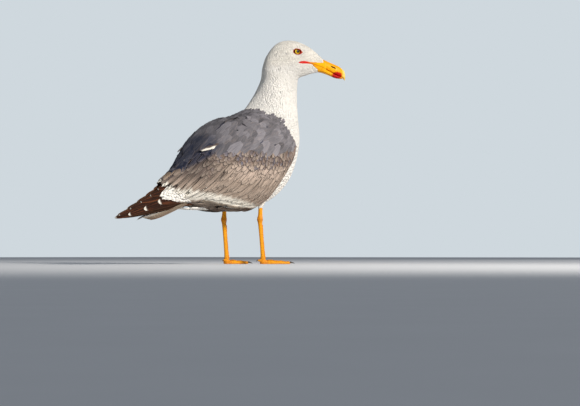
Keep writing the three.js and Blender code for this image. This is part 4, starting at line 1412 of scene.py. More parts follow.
def wingHue(points):
    # palest on the long coverts under the brown band, darkest at the upper rear
    x, _, z = xyz(points)
    pale = smoothStep(z, 126, 146) * fade(z, 153, 162)
    pale = pale * fade(-x, 78, 112) * fade(x, 28, 58)
    colours = toward(hues["covert"], "paleCovert", pale)
    colours = toward(colours, "band", smoothStep(z, 156, 166))
    return toward(colours, "rearCovert", smoothStep(-x, 92, 140) * smoothStep(z, 122, 146))


def layTract(coat, side, look):
    x = np.arange(*look["x"])
    n = len(x)
    x = x + random.normal(0, 0.3 * look["x"][2] ** 0.5, n)
    forward = smoothStep(x, -40, 50)
    above = look["above"] * (1 - 0.25 * smoothStep(x, 10, 60)) * (1 - 0.25 * smoothStep(-x, 150, 200))
    z = trailingLine(x) + above + np.clip(random.normal(0, look["ragged"], n), -8, 8)
    t, share = wingPlaces(x, z)
    own = perVane(random.uniform(0.78, 1.14, n))
    browned = perVane(0.35 * smoothStep(random.random(n), 0.4, 1.0))

    def base(grid):
        colours = hues[look["hue"]] if look["hue"] else wingHue(grid)
        return mix(colours * own, hues["brownAndShade"], browned)

    def tint(grid, u, v):
        # a white band follows the trailing line
        x, _, z = xyz(grid)
        colours = vaneTint(base, "wornEdge", 0.5, edgeFrom=0.7, rootShadow=0.2)(grid, u, v)
        # painted shade between the wings, over the shade line
        colours = toward(colours, "between", 0.85 * paintedShadeShare(grid))
        band = np.interp(x, whiteBand["x"], whiteBand["height"])
        band = band + 2.2 * np.sin(x * 0.7 + z * 0.3) * smoothStep(band, 3, 12)
        over = z - trailingLine(x)
        return toward(colours, "tipWhite", smoothStep(band - over, -2.0, 2.0) * (over > -4))

    def heading(points, alongA):
        return levelWay(points, look["fall"]) if look["fall"] else wingHeading(points, alongA)

    # the rear ones stand out over the wing tips
    out = look["rise"] + 4.0 * smoothStep(-x, 140, 175) * fade(-x, 190, 204) * (look["above"] < 30)
    layVanes(coat, wingSurface(side), t, share, {
        **tractVane, "length": look["length"] * (1 - 0.35 * forward) * random.uniform(0.92, 1.08, n),
        "half": look["half"] * (1 - 0.15 * forward), "depth": look["depth"], "rise": out,
        "turn": random.normal(0, 0.05, n), "roll": -0.04 * side,
    }, heading, tint)


def layLesser(coat, side):
    def keep(points):
        x, _, z = xyz(points)
        low = trailingLine(x) + 68 - 34 * smoothStep(x, 5, 62)
        low = low - 32 * smoothStep(-x, 92, 130) - 16 * smoothStep(-x, 118, 138)
        return (z > low) & (z < underShoulder(x) + 5) & (x < 66)

    def spacing(points):
        return lesser["spacing"] - 1.2 * smoothStep(points[..., 0], 25, 62)

    surface = wingSurface(side)
    a, b, gap = scatter(surface, (-0.2, 6.0), (0, 1), spacing, lesser["tries"], keep)
    n = len(a)
    base = toward(hues["band"], "bandGrey", random.random(n))
    base = toward(base, "bandPale", 0.85 * smoothStep(random.random(n), 0.5, 1.0))
    rear = smoothStep(-surface["at"](a, b)[:, 0], 92, 125)[:, None]
    base = mix(base, toward(hues["rearCovert"], "band", random.random(n)), rear)

    def tint(grid, u, v):
        colours = vaneTint(base, "wornEdge", 0.35, edgeFrom=0.65, rootShadow=0.35, darkTo=0.95)(grid, u, v)
        # painted shade between the wings, over the shade line
        return toward(colours, "between", 0.85 * paintedShadeShare(grid))

    layVanes(coat, surface, a, b, {
        **lesser, "length": gap * lesser["length"] * random.uniform(0.85, 1.15, n),
        "half": gap * lesser["half"], "rise": lesser["rise"] + 0.5 * (random.random(n) < 0.15),
        "turn": random.normal(0, 0.2, n),
    }, wingHeading, tint)


def columnsOf(rows):
    # tip X and Z, length, half width and rise of each row
    return [np.array([row[i] for row in rows], float) for i in range(5)]


def layTertials(coat, side):
    x, z, length, half, rise = columnsOf(tertials)
    t, share = wingPlaces(x, z)
    base = np.array([hues[row[5]] for row in tertials])

    def heading(points, alongA):
        return backAndDown(np.radians(np.interp(points[..., 0], [-190, -110, -60], [29, 28, 20])))

    def tint(grid, u, v):
        colours = vaneTint(base, "wornEdge", 0.5, edgeFrom=0.78, rootShadow=0.35)(grid, u, v)
        # painted shade between the wings, over the shade line raised a little
        return toward(colours, "between", 0.6 * paintedShadeShare(grid - [0, 0, 7]))

    layVanes(coat, wingSurface(side), t, share, {
        **tertialVane, "length": length, "half": half, "rise": rise, "turn": random.normal(0, 0.03, len(x)),
        "roll": -0.03 * side,
    }, heading, tint)


def layScapulars(coat, side):
    x, z, length, half, rise = columnsOf(scapulars)
    t, share = wingPlaces(x, z)

    def heading(points, alongA):
        return levelWay(points, -9)

    def tint(grid, u, v):
        colours = vaneTint(hues["rearCovert"], "mantleEdge", 0.5, edgeFrom=0.7)(grid, u, v)
        ragged = 0.12 * np.sin(u * 31)
        border = smoothStep(v * side * -1 + ragged, 0.1, 0.4) * smoothStep(u, 0.25, 0.5)
        return toward(colours, "tipWhite", border)

    look = {**scapularVane, "length": length, "half": half, "rise": rise}
    layVanes(coat, wingSurface(side), t, share, look, heading, tint)


for sideName, side in sideSigns.items():
    panel, coverts = newCoat(islands=True), newCoat()
    for tract in tracts.values():
        layTract(panel if tract["panel"] else coverts, side, tract)
    layTertials(panel, side)
    layScapulars(panel, side)
    layLesser(coverts, side)
    coatPiece("wing_feathers_" + sideName, panel, materials["mantlePlumage"])
    coatPiece("wing_coverts_" + sideName, coverts, materials["mantlePlumage"])


# wing tips: the long primaries, stacked one under another
primaries = {
    # place out from the middle and lean, at a height, by place along X
    "x": [-296, -282, -250, -218, -188, -165, -130, -95, -60],
    "y": [2.3, 3.6, 6.5, 8.6, 8.5, 7.5, 13, 24, 36],
    "lean": [0, 0.1, 0.25, 0.32, 0.34, 0.34, 0.3, 0.3, 0.3],
    "middle": [71.5, 75, 84.8, 96.5, 109.5, 111, 108, 108, 109],
    "gap": 0.42,
    # tip X and Z, root X and Z, half width, share of the tip that is white
    "feathers": [
        (-290, 73, -118, 99.5, 8, 0.0), (-296, 71.5, -140, 101, 6.5, 0.0), (-290, 75.5, -138, 107, 5.5, 0.0),
        (-272, 76.5, -136, 104, 7.6, 0.02), (-268, 86, -132, 113, 6.5, 0.0),
        (-242, 85.5, -132, 107, 9, 0.034),
        (-246, 96.5, -126, 119, 7.5, 0.0), (-213, 97, -128, 110, 10, 0.042), (-226, 107, -120, 125, 8, 0.0),
        (-187, 107.5, -122, 113, 10, 0.045), (-209, 117.5, -114, 131, 8.5, 0.0),
        (-186, 116, -116, 118, 9.5, 0.0),
        (-190, 127, -108, 134, 9, 0.0),
    ],
}
longVane = {"depth": 0.0, "rise": 0.0, "fromTip": True}
primaryVane = {
    **longVane, "rows": 34, "cols": 9, "crowd": 0.6, "camber": 0.07,
    "shape": {"tip": 0.08, "widest": 0.55, "root": 0.75},
}


def makePrimaries(sideName, side):
    coat = newCoat(islands=True)
    for k, (tipX, tipZ, rootX, rootZ, half, white) in enumerate(primaries["feathers"]):
        def at(a, b):
            # a runs back and b up; each feather lies a little further out than the longer one under it
            x = -np.asarray(a, float)
            y, lean, middle = [np.interp(x, primaries["x"], primaries[c]) for c in ("y", "lean", "middle")]
            out = y - lean * (b - middle) + primaries["gap"] * (k - 4)
            return stacked(x, side * out, b)

        def heading(points, alongA):
            # nearly straight, with a slight fall towards the tip
            share = (points[..., 0] - tipX) / (rootX - tipX)
            slope = (tipZ - rootZ) / (tipX - rootX) + 0.12 * (0.5 - share)
            return stacked(-np.ones_like(share), 0 * share, -slope)

        def tint(grid, u, v):
            colours = toward(hues["black"], "wornBlackAndShade", 0.15 + 0.45 * smoothStep(v * -side, 0.2, 1))
            colours = toward(colours, "primaryEdge", 0.45 * smoothStep(np.abs(v), 0.75, 1.0))
            tip = smoothStep(u + 0.01 * np.abs(v), 1 - white * 1.6, 1 - white * 0.8)
            return toward(colours, "tipWhite", tip)

        surface = {"at": at, "outward": side, "steps": (1.0, 0.5)}
        look = {**primaryVane, "length": math.hypot(tipX - rootX, tipZ - rootZ), "half": half}
        layVanes(coat, surface, np.array([-float(tipX)]), np.array([float(tipZ)]), look, heading, tint)
    piece = coatPiece("primary_feathers_" + sideName, coat, materials["flightPlumage"])
    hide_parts("primaries_" + sideName)


for sideName, side in sideSigns.items():
    makePrimaries(sideName, side)


# tail
tail = {
    "rootX": -150, "tipX": -240, "rootZ": 102.5, "tipZ": 71.2, "half": 12.0, "rootHalf": 5.5, "pairs": 6,
    "gap": 0.55, "arch": 9,
}
tailVane = {
    **longVane, "half": 7.0, "rows": 20, "cols": 7, "crowd": 0.7, "fringe": 0.012, "camber": 0.05,
    "shape": {"tip": 0.4, "widest": 0.7, "root": 0.6},
}


def makeTail():
    coat = newCoat(islands=True)
    fall = (tail["rootZ"] - tail["tipZ"]) / (tail["rootX"] - tail["tipX"])
    for k in range(tail["pairs"]):
        for side in ((-1, 1) if k else (0.12, -0.12)):
            share = abs(side) * k / (tail["pairs"] - 1)
            sign = 1 if side > 0 else -1
            spread, root = (tail["half"] * share + 1.5) * sign, tail["rootHalf"] * share * sign
            reach = tail["rootX"] - tail["tipX"] - 5 * share ** 2

            def at(a, b):
                # a runs back from the root and b to the bird's left; outer feathers lie lower
                z = tail["rootZ"] - a * fall + 1.6 - tail["gap"] * k - tail["arch"] * (b / 27) ** 2
                return stacked(tail["rootX"] - a, b, z)

            def heading(points, alongA):
                return np.broadcast_to([-1.0, (spread - root) / 85, 0.0], points.shape)

            # the outer feathers are darker and browner: painted shade under the wing tips
            colour = mix(hues["white"], hues["tailShade"], min(1.0, 2 * share)) * (1 - 0.5 * share)
            surface = {"at": at, "outward": 1, "steps": (1.0, 0.5)}
            layVanes(coat, surface, np.array([reach]), np.array([spread]), {**tailVane, "length": reach},
                    heading, vaneTint(colour, "brownAndShade", 0.9 * share, edgeFrom=0.2))
    piece = coatPiece("tail_vanes", coat, materials["flightPlumage"])
    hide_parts("tail")


makeTail()


# bill
bill = {
    # x, height of the ridge, of the mouth and of the lower edge, half width
    "slices": [(128, 339.5, 337.5, 331, 7), (143, 349, 336, 327, 8), (157.5, 348, 333, 324.8, 7.6),
               (170.5, 343.2, 328.2, 320.8, 6), (182.5, 338.8, 322.4, 316.2, 5),
               (191, 335.2, 319.2, 315, 4.2),
               (197, 330.2, 316.6, 315, 3.3)],
    "hook": {"x": 202, "z": 321.4, "tipX": 201, "tipZ": 312.4},
    "mouthX": [111, 121, 130, 143, 157.5, 170.5, 182.5, 191, 197],
    "mouthZ": [337.9, 338.6, 338, 336, 333, 328.2, 322.4, 319.2, 316.6],
    "mouthGap": 0.3, "rows": 110, "hookRows": 26, "sides": 72, "flat": 0.96, "roundness": 2.2,
    "nostril": {"x": 178.6, "z": 333.8, "length": 4.4, "height": 1.2, "slope": -0.36, "depth": 1.5},
    "redSpot": {"x": 185.6, "z": 320.8, "length": 10.2, "height": 6.4},
}
billRuns = runsOf(bill["slices"])


def billAlong(x, column):
    # one measure of the bill's slices, by place along X
    columns = list(zip(*bill["slices"]))
    return np.interp(x, columns[0], columns[column])


def mouthLine(x):
    return np.interp(x, bill["mouthX"], bill["mouthZ"])


def billRowsOf(upper):
    last = len(bill["slices"]) - (1 if upper else 1.25)
    t, angle = roundGrid(0.2, last, bill["rows"], bill["sides"])
    x, top, mouth, bottom, half = [run(t) for run in billRuns]
    y, z = squared(angle, bill["roundness"])
    flat = bill["flat"]
    if upper:
        share = (np.maximum(z, -flat) + flat) / (1 + flat)
        low, high = mouth, top
        # the cutting edge overhangs the lower half a little, and the ridge is narrower than the sides
        y = y * (1 + 0.05 * np.exp(-((share - 0.08) / 0.1) ** 2) - 0.07 * smoothStep(share, 0.55, 0.95))
    else:
        share = (np.minimum(z, flat) + 1) / (1 + flat)
        low, high = bottom, mouth - bill["mouthGap"]
        y = y * (1 - 0.05 * smoothStep(share, 0.6, 1))
    rows = stacked(x, y * half, mix(low, high, share))
    return np.concatenate([rows, hookRowsOf() if upper else roundedEnd(rows[-1])])


def roundedEnd(last):
    # the lower half ends in a small rounded tip
    centre = last.mean(0)
    return np.array([centre + (last - centre) * math.cos(bend) + np.array([1.6 * math.sin(bend), 0, 0])
            for bend in np.linspace(0.3, math.pi / 2 - 0.05, 7)])


def hookRowsOf():
    # the tip turns down over the lower half
    hook = bill["hook"]
    startX, startTop, startMouth, _, startHalf = bill["slices"][-1]
    share = np.linspace(0, 1, bill["hookRows"] + 1)[1:, None]
    bend = share * math.pi / 2
    frontX, frontZ = mix(startX, hook["x"], np.sin(bend)), mix(hook["z"], startTop, np.cos(bend))
    rearX, rearZ = mix(startX, hook["tipX"] - 1.9, share), mix(startMouth, hook["tipZ"] + 1.0, share)
    endX, endZ = mix(frontX, hook["tipX"], share ** 2), mix(frontZ, hook["tipZ"], share ** 2)
    half = startHalf * np.sqrt(np.clip(1 - share ** 1.8, 0.015, 1))
    out, up = squared(fullTurn(bill["sides"])[None], bill["roundness"])
    across = (up + 1) / 2
    return stacked(mix(rearX, endX, across), half * out, mix(rearZ, endZ, across))


def billDents(points):
    # nostril slit and the slight groove along the side of the horn
    slit = bill["nostril"]
    x, dx, dz = points[:, 0], points[:, 0] - slit["x"], points[:, 2] - slit["z"]
    dz = dz - slit["slope"] * dx
    inSlit = np.exp(-(np.abs(dx / slit["length"]) ** 4 + (dz / slit["height"]) ** 2))
    groove = 0.22 * np.exp(-((dz + 0.4) / 1.8) ** 2) * smoothStep(x, 156, 164) * fade(x, 181, 189)
    moved = points.copy()
    moved[:, 1] -= np.sign(points[:, 1]) * (slit["depth"] * inSlit + groove)
    return moved, inSlit


def billColours(points, inSlit, upper):
    x, _, z = xyz(points)
    mouth = mouthLine(x)
    high = smoothStep((z - mouth) / np.maximum(billAlong(x, 1) - mouth, 1), 0.55, 1.0)
    colours = toward(hues["billYellow"], "billRidge", 0.7 * high * fade(x, 183, 195))
    colours = toward(colours, "billRidge", fade(x, 150, 168) * 0.6)
    spot = bill["redSpot"]
    away = np.hypot((x - spot["x"]) / spot["length"], (z - spot["z"]) / spot["height"])
    away = away + 0.1 * np.sin(x * 1.7 + z * 2.3) + (0.05 if upper else 0)
    colours = toward(colours, "billRed", 1 - smoothStep(away, 0.78, 1.08))
    colours = toward(colours, "billTip", 0.85 * (smoothStep(x, 193.5, 198) * (1 if upper else 0.6)))
    # the slit is painted near black: painted shade in the nostril's hollow
    if upper:
        colours = toward(colours, "nostril", smoothStep(inSlit, 0.2, 0.5))
    # a dark line along the mouth: painted shade in the crease between the halves
    seamShade = np.exp(-((z - mouth) / 0.5) ** 2) * smoothStep(x, 140, 150) * (0.65 if upper else 0.8)
    return toward(colours, "mouthCreaseShade", seamShade)


def makeBill():
    for name, upper in (("bill_upper", True), ("bill_lower", False)):
        points, faces = closedLoft(billRowsOf(upper))
        moved, inSlit = billDents(points) if upper else (points, np.zeros(len(points)))
        colours = billColours(points, inSlit, upper)
        piece = pieceFrom(name + "_horn", turnHead(moved), faces, materials["bill"], colours)
        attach(piece, "root")
        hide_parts(name)


def makeGape():
    # bare skin from the corner of the mouth to the bill
    parts, tints = [], []
    start = gape["x"][0] + 0.3
    for side in (-1, 1):
        x, share = np.meshgrid(np.linspace(start, 165, gape["columns"]), np.linspace(0, 1, gape["rows"]),
                indexing="ij")
        top = np.interp(x, gape["x"], gape["top"]) + 0.3
        low = np.interp(x, gape["x"], gape["low"]) - 0.3
        # the low edge keeps clear of the lower half of the bill
        low = np.maximum(low, np.interp(x, [140, 147, 151, 162], [300, 326.5, 325.2, 324.6]))
        z = mix(low, top, share)
        y = mix(sidewaysOfHead(np.minimum(x, 157), z), billAlong(x, 4) * 1.02, smoothStep(x, 156.5, 163))
        bulge = np.sqrt(np.clip(1 - (2 * share - 1) ** 2, 0, 1)) * np.clip((x - gape["x"][0] - 0.3) / 3, 0, 1)
        crease = np.exp(-((z - mouthLine(x)) / 0.55) ** 2) * smoothStep(x, 113, 118)
        outer = stacked(x, side * (y - 0.8 + 1.25 * bulge ** 0.6 - 0.55 * crease), z)
        inner = stacked(x, side * (y - 2.2), z)
        points, faces = closedLoft(np.concatenate([outer, inner[:, ::-1]], 1))
        parts.append((points, faces))
        x, _, z = xyz(points)
        colours = toward(hues["billRidge"], "billYellow", smoothStep(x, 134, 150))
        red = 1 - smoothStep(x + 1.5 * np.sin(z * 2.1), gape["redTo"] - 5, gape["redTo"] + 6)
        colours = toward(colours, "mouth", red)
        # a dark line along the mouth: painted shade in the crease
        line = np.exp(-((z - mouthLine(x)) / 0.45) ** 2) * smoothStep(x, 126, 134) * 0.85
        tints.append(toward(colours, "mouthCreaseShade", line))
    points, faces = joined(parts)
    piece = pieceFrom("gape_skin", turnHead(points), faces, materials["bill"], np.concatenate(tints))
    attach(piece, "root")


makeBill()
makeGape()


# eyes
eyeLook = {
    # radii on the ball, how far the iris leans, and the opening of the lids
    "pupil": 2.8, "ahead": 0.7, "iris": 4.1, "rim": 4.5, "cornea": 0.45, "lean": 0.08,
    "length": 5.4, "height": 4.05, "rings": 60, "sides": 64,
}


def makeEye(sideName, side):
    theta, around = roundGrid(0.004, math.pi - 0.004, eyeLook["rings"], eyeLook["sides"])
    across = eye["radius"] * np.sin(theta)
    bulge = np.where(theta < math.pi / 2, eyeLook["cornea"] * np.exp(-(across / 4) ** 4), 0)
    lift = eye["radius"] * np.cos(theta) + bulge
    x = eye["x"] + across * np.cos(around) + eyeLook["lean"] * lift
    z = eye["z"] + across * np.sin(around)
    points, faces = closedLoft(stacked(x, side * (eye["out"] + lift), z))
    flat = atHubs(across)
    # the bird looks a little ahead, so the pupil stands before the middle of the iris
    ahead = atHubs(across * np.cos(around)) - eyeLook["ahead"]
    up = atHubs(across * np.sin(around)) - 0.5 * eyeLook["ahead"]
    away, pupil, iris = np.hypot(ahead, up), eyeLook["pupil"], eyeLook["iris"]
    ray = atHubs(0.5 + 0.5 * np.sin(around * 31 + 3 * np.sin(around * 7)))
    colours = toward(hues["iris"], "irisDeep", 0.35 * ray)
    colours = toward(colours, "irisDeep", 0.6 * fade(away, pupil, pupil + 0.7))
    colours = mix(hues["pupil"], colours, smoothStep(away, pupil - 0.15, pupil + 0.15)[:, None])
    colours = toward(colours, "irisRim", smoothStep(flat, iris - 0.4, iris))
    # beyond the iris the ball is painted black: painted shadow between the iris and the lids
    colours = toward(colours, "pupil", smoothStep(flat, iris, eyeLook["rim"]))
    # the brow's shade
    colours = toward(colours, "pupil", 0.9 * smoothStep(up + 0.25 * ahead, 1.2, 2.8))
    piece = pieceFrom("eye_ball_" + sideName, turnHead(points), faces, materials["eye"], colours)
    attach(piece, "root")
    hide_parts("eye_" + sideName)


def makeOrbitalRing(sideName, side):
    # a fleshy ring from the edge of the opening out to the feathers, drawn to a point in front
    steps, outer, inner = ring["steps"], ring["outer"], ring["inner"]
    turn = fullTurn(steps)[:, None]
    pull = 1 + (ring["corner"] / ring["length"]) * np.clip(np.cos(turn), 0, 1) ** 7
    share = np.concatenate([np.linspace(0, 1, outer), np.linspace(1, 0, inner)])[None]
    under = np.concatenate([np.zeros(outer), np.sin(np.linspace(0.2, math.pi - 0.2, inner))])[None]
    outerX = ring["length"] * pull * np.cos(turn)
    outerZ = ring["height"] * np.sin(turn) - 0.8 * np.clip(np.cos(turn), 0, 1) ** 3
    x = eye["x"] + mix(eyeLook["length"] * np.cos(turn), outerX, share)
    z = eye["z"] + mix(eyeLook["height"] * np.sin(turn), outerZ, share)
    onBall = np.maximum(eye["radius"] ** 2 - (x - eye["x"]) ** 2 - (z - eye["z"]) ** 2, 0.5)
    y = mix(np.sqrt(onBall) + eye["out"], sidewaysOfHead(x, z), smoothStep(share, 0.05, 0.6)) + 0.15
    brow = 1 + 0.35 * np.clip(np.sin(turn), 0, 1)
    y = y + 0.5 * brow * np.sin(math.pi * np.clip(share, 0, 1)) ** 0.7 - (0.9 + 0.9 * under) * (under > 0)
    crinkle = 0.07 * np.sin(turn * 29 + 5 * share) * np.sin(math.pi * share)
    points = stacked(x, side * (y + crinkle), z).reshape(-1, 3)
    sides, last = outer + inner, (steps - 1) * (outer + inner)
    faces = loftFaces(steps, sides)
    faces += [[last + j, last + (j + 1) % sides, (j + 1) % sides, j] for j in range(sides)]
    colours = toward(hues["lid"], "lidFront", smoothStep(points[:, 0], eye["x"] + 6.2, eye["x"] + 9))
    edge = 1 - smoothStep(np.broadcast_to(share, x.shape).ravel(), 0.0, 0.14)
    colours = toward(colours, "lidEdge", 0.8 * edge)
    piece = pieceFrom("orbital_ring_" + sideName, turnHead(points), faces, materials["lid"], colours)
    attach(piece, "root")
    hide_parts("eyelid_" + sideName)


for sideName, side in sideSigns.items():
    makeEye(sideName, side)
    makeOrbitalRing(sideName, side)


# legs and feet
leg = {"top": 95.65, "heel": 73, "joint": 8.5, "rows": 150, "sides": 40, "voxel": 0.00062}
toes = {
    "inner": {"angle": 27, "length": 38}, "middle": {"angle": -4, "length": 50},
    "outer": {"angle": -36, "length": 46},
}
toeSize = {
    "rootHeight": 8, "tipHeight": 4.2, "rootHalf": 3.6, "tipHalf": 2.1, "bumps": 3, "steps": 60, "sides": 20,
}
web = {"thick": 1.3, "reach": 0.9, "dip": 0.24, "edgeSteps": 24, "steps": 30}
pad = {"radius": 6, "sole": 5, "rings": 24, "sides": 32}
hindToe = {"angle": 168, "length": 10, "rise": 6, "rootHalf": 2.6, "tipHalf": 1.5, "steps": 30}
scutes = {"spacing": 2.5, "thick": 0.42, "seed": 3, "unevenness": 0.1}
claw = {"length": 8, "half": 1.8, "rise": 2.6, "clear": 0.15, "fall": 1.0, "steps": 30, "sides": 20}
hindClaw = {"length": 4, "half": 1.2, "rise": 6, "clear": 0.15, "fall": 0.4, "steps": 20, "sides": 16}


def legStations(limb):
    heel, foot, y = limb["heel"], limb["foot"], limb["y"]
    top, bend, joint = leg["top"], leg["heel"], leg["joint"]
    return [
        # x, y, z, half depth, half width
        (heel + 1.5, y, top, 3.6, 3.2), (heel + 0.7, y, bend + 8, 3.9, 3.4), (heel, y, bend, 5.4, 4.6),
        (heel + 0.6, y, bend - 8, 4, 3.1), ((heel + foot) / 2, y, (bend + joint) / 2, 3.6, 2.6),
        (foot - 0.6, y, joint + 7, 3.7, 3), (foot, y, joint, 4.4, 4.2),
    ]


def toeWay(side, degrees):
    angle = math.radians(degrees) * -side
    return np.array([math.cos(angle), math.sin(angle), 0])


def legLoft(limb):
    t, angle = roundGrid(-0.3, 6, leg["rows"], leg["sides"])
    x, y, z, deep, wide = [run(t) for run in runsOf(legStations(limb))]
    # knobs of the heel joint, a hollow along each side of the shank
    knob = np.exp(-((z - leg["heel"]) / 4.2) ** 2)
    wide = wide * (1 + 0.05 * knob * np.cos(2 * angle))
    hollow = 0.1 * np.exp(-((np.cos(angle) ** 2 - 1) / 0.35) ** 2)
    hollow = hollow * smoothStep(z, 12, 20) * fade(z, 60, 68)
    x = x + deep * np.sin(angle) * (1 - 0.04 * knob)
    return closedLoft(stacked(x, y + wide * np.cos(angle) * (1 - hollow), z))


def spur(start, way, length, steps, section, sides):
    # a form along a straight line, as wide and high as the section says
    across = np.array([-way[1], way[0], 0])
    share = np.linspace(0, 1, steps)[:, None]
    angle = fullTurn(sides)[None]
    half, height = section(share, angle)
    rows = start + way * (share * length)[..., None] + across * (half * np.cos(angle))[..., None]
    rows[..., 2] += height
    return closedLoft(rows)


def toeSection(share, angle):
    swell = np.where(share > 0.93, 1 - 0.45 * ((share - 0.93) / 0.07) ** 2, 1)
    swell = swell * (1 + 0.09 * np.cos(2 * math.pi * toeSize["bumps"] * share))
    tall = mix(toeSize["rootHeight"], toeSize["tipHeight"], share ** 0.7)
    half = mix(toeSize["rootHalf"], toeSize["tipHalf"], share)
    return half * swell, tall * swell * np.maximum(0, 0.35 + 0.65 * np.sin(angle))


def hindSection(share, angle):
    half = mix(hindToe["rootHalf"], hindToe["tipHalf"], share) * np.where(share > 0.9, 0.8, 1)
    return half, hindToe["rise"] + half * np.sin(angle)


def webPlate(limb):
    # two thin webs between the front toes, with edges that curve in and slight folds
    start = np.array([limb["foot"] + 1, limb["y"]])
    tips = [start + toeWay(limb["side"], toes[k]["angle"])[:2] * toes[k]["length"] * web["reach"]
            for k in ("outer", "middle", "inner")]
    s = np.linspace(0, 1, web["edgeSteps"])[:, None]
    edge = []
    for first, second in zip(tips, tips[1:]):
        bend = mix((first + second) / 2, start, web["dip"])
        edge.append((1 - s) ** 2 * first + 2 * s * (1 - s) * bend + s ** 2 * second)
    edge = np.concatenate(edge)
    share = np.linspace(0, 1, web["steps"])[None, :, None]
    flat = start - [2, 0] + (edge[:, None] - start + [2, 0]) * share
    ripple = 0.18 * np.sin(share[..., 0] * 26) * smoothStep(share[..., 0], 0.3, 0.8)
    upper = np.concatenate([flat, (web["thick"] + ripple + 0 * flat[..., 0])[..., None]], -1)
    lower = np.concatenate([flat, 0 * flat[..., :1] - 0.4], -1)
    return foldedLoft(np.concatenate([upper, lower[:, ::-1]], 1))


def padBall(limb):
    centre = math.sqrt(pad["radius"] ** 2 - pad["sole"] ** 2)
    theta, around = roundGrid(0.05, math.pi - 0.05, pad["rings"], pad["sides"])
    r = pad["radius"]
    return closedLoft(stacked(limb["foot"] + 0.5 + r * np.sin(theta) * np.cos(around),
            limb["y"] + 0.85 * r * np.sin(theta) * np.sin(around),
             centre + r * np.cos(theta)))


def limbColours(points, limb):
    z = points[:, 2]
    reach = np.hypot(points[:, 0] - limb["foot"], points[:, 1] - limb["y"])
    colours = np.broadcast_to(hues["leg"], points.shape)
    # darker round the heel joint and where the toes meet near the ground: painted shade in the creases
    joint = np.exp(-((z - leg["heel"]) / 6) ** 2) + np.exp(-(z / 9) ** 2) * (reach < 9)
    colours = toward(colours, "legJointShade", np.clip(joint, 0, 1))
    return toward(colours, "web", fade(z, 1.4, 2.2) * smoothStep(reach, 9, 14))


def makeScuteMesh():
    # one scute: a low rounded plate whose lower edge lies over the next
    across, along = np.meshgrid(np.linspace(-1, 1, 9), np.linspace(-1, 1, 7), indexing="ij")
    edge = np.clip(1 - np.maximum(np.abs(across) ** 3, np.abs(along) ** 4), 0, 1)
    length = along * (1 - 0.25 * across ** 2)
    top = stacked(across, length, 0.15 + edge * (0.75 - 0.25 * along))
    bottom = stacked(across, length, 0 * across - 0.9)
    points, faces = foldedLoft(np.concatenate([top, bottom[:, ::-1]], 1))
    mesh = bpy.data.meshes.new("scute")
    mesh.from_pydata(points.tolist(), [], faces)
    smoothFaces(mesh)
    return mesh


def scuteRow(limb):
    # place, outward way, lie along the limb and half sizes of each plate down a leg and its toes
    plates = []
    spacing, thick = scutes["spacing"], scutes["thick"]
    runs = runsOf(legStations(limb))
    t = np.linspace(2.7, 5.95, 400)
    for level in np.arange(10.5, 64, spacing):
        at = float(np.interp(-level, -runs[2](t), t))
        x, y, _, deep, wide = [float(run(at)) for run in runs]
        size = (wide * 0.78, spacing * 0.62, thick)
        plates.append([(x + deep - 0.1, y, level), (1, 0, 0.0), (0, 0, -1), size])
    for toe in toes.values():
        way = toeWay(limb["side"], toe["angle"])
        slope = (toeSize["tipHeight"] - toeSize["rootHeight"]) / toe["length"]
        for reach in np.arange(7.5, toe["length"] - 1.2, spacing * 0.72):
            half, height = toeSection(np.array(reach / toe["length"]), np.array(math.pi / 2))
            spot = np.array([limb["foot"], limb["y"], float(height) - 0.12]) + way * reach
            plates.append([spot, (-way[0] * slope, -way[1] * slope, 1), (way[0], way[1], slope),
                    (float(half) * 0.8, spacing * 0.45, thick)])
    return np.array(plates, float).transpose(1, 0, 2)


def scuteNodes():
    # points carry "out", "lie" and "size"; each becomes a scute, sized a little at random
    group, given, result = newGroup("scuteRow", [
        ("Geometry", "Geometry", None), ("Scute", "Object", None), ("Material", "Material", None),
        ("Seed", "Int", None), ("Unevenness", "Float", None),
    ], [("Geometry", "Geometry")], "GeometryNodeTree")

    def stored(label):
        return addNode(group, "GeometryNodeInputNamedAttribute", {"Name": label}, data_type="FLOAT_VECTOR")[0]

    scute = addNode(group, "GeometryNodeObjectInfo", {"Object": given["Scute"]})["Geometry"]
    turned = addNode(group, "FunctionNodeAlignEulerToVector", {"Vector": stored("out")}, axis="Z")[0]
    feeds = {"Rotation": turned, "Vector": stored("lie")}
    turned = addNode(group, "FunctionNodeAlignEulerToVector", feeds, axis="Y", pivot_axis="Z")[0]
    uneven = group.nodes.new("FunctionNodeRandomValue")
    uneven.data_type = "FLOAT"
    low, high = [socket for socket in uneven.inputs if socket.type == "VALUE" and socket.enabled][:2]
    feed(group, low, maths(group, "SUBTRACT", 1, given["Unevenness"]))
    feed(group, high, maths(group, "ADD", 1, given["Unevenness"]))
    feed(group, uneven.inputs["Seed"], given["Seed"])
    drawn = [socket for socket in uneven.outputs if socket.type == "VALUE" and socket.enabled][0]
    dots = addNode(group, "GeometryNodeMeshToPoints", {"Mesh": given["Geometry"]})["Points"]
    plates = addNode(group, "GeometryNodeInstanceOnPoints", {
        "Points": dots, "Instance": scute, "Rotation": turned,
        "Scale": scaledBy(group, stored("size"), drawn)})
    real = addNode(group, "GeometryNodeRealizeInstances", {"Geometry": plates["Instances"]})["Geometry"]
    feeds = {"Geometry": real, "Material": given["Material"]}
    feed(group, result["Geometry"], addNode(group, "GeometryNodeSetMaterial", feeds)["Geometry"])
    return group


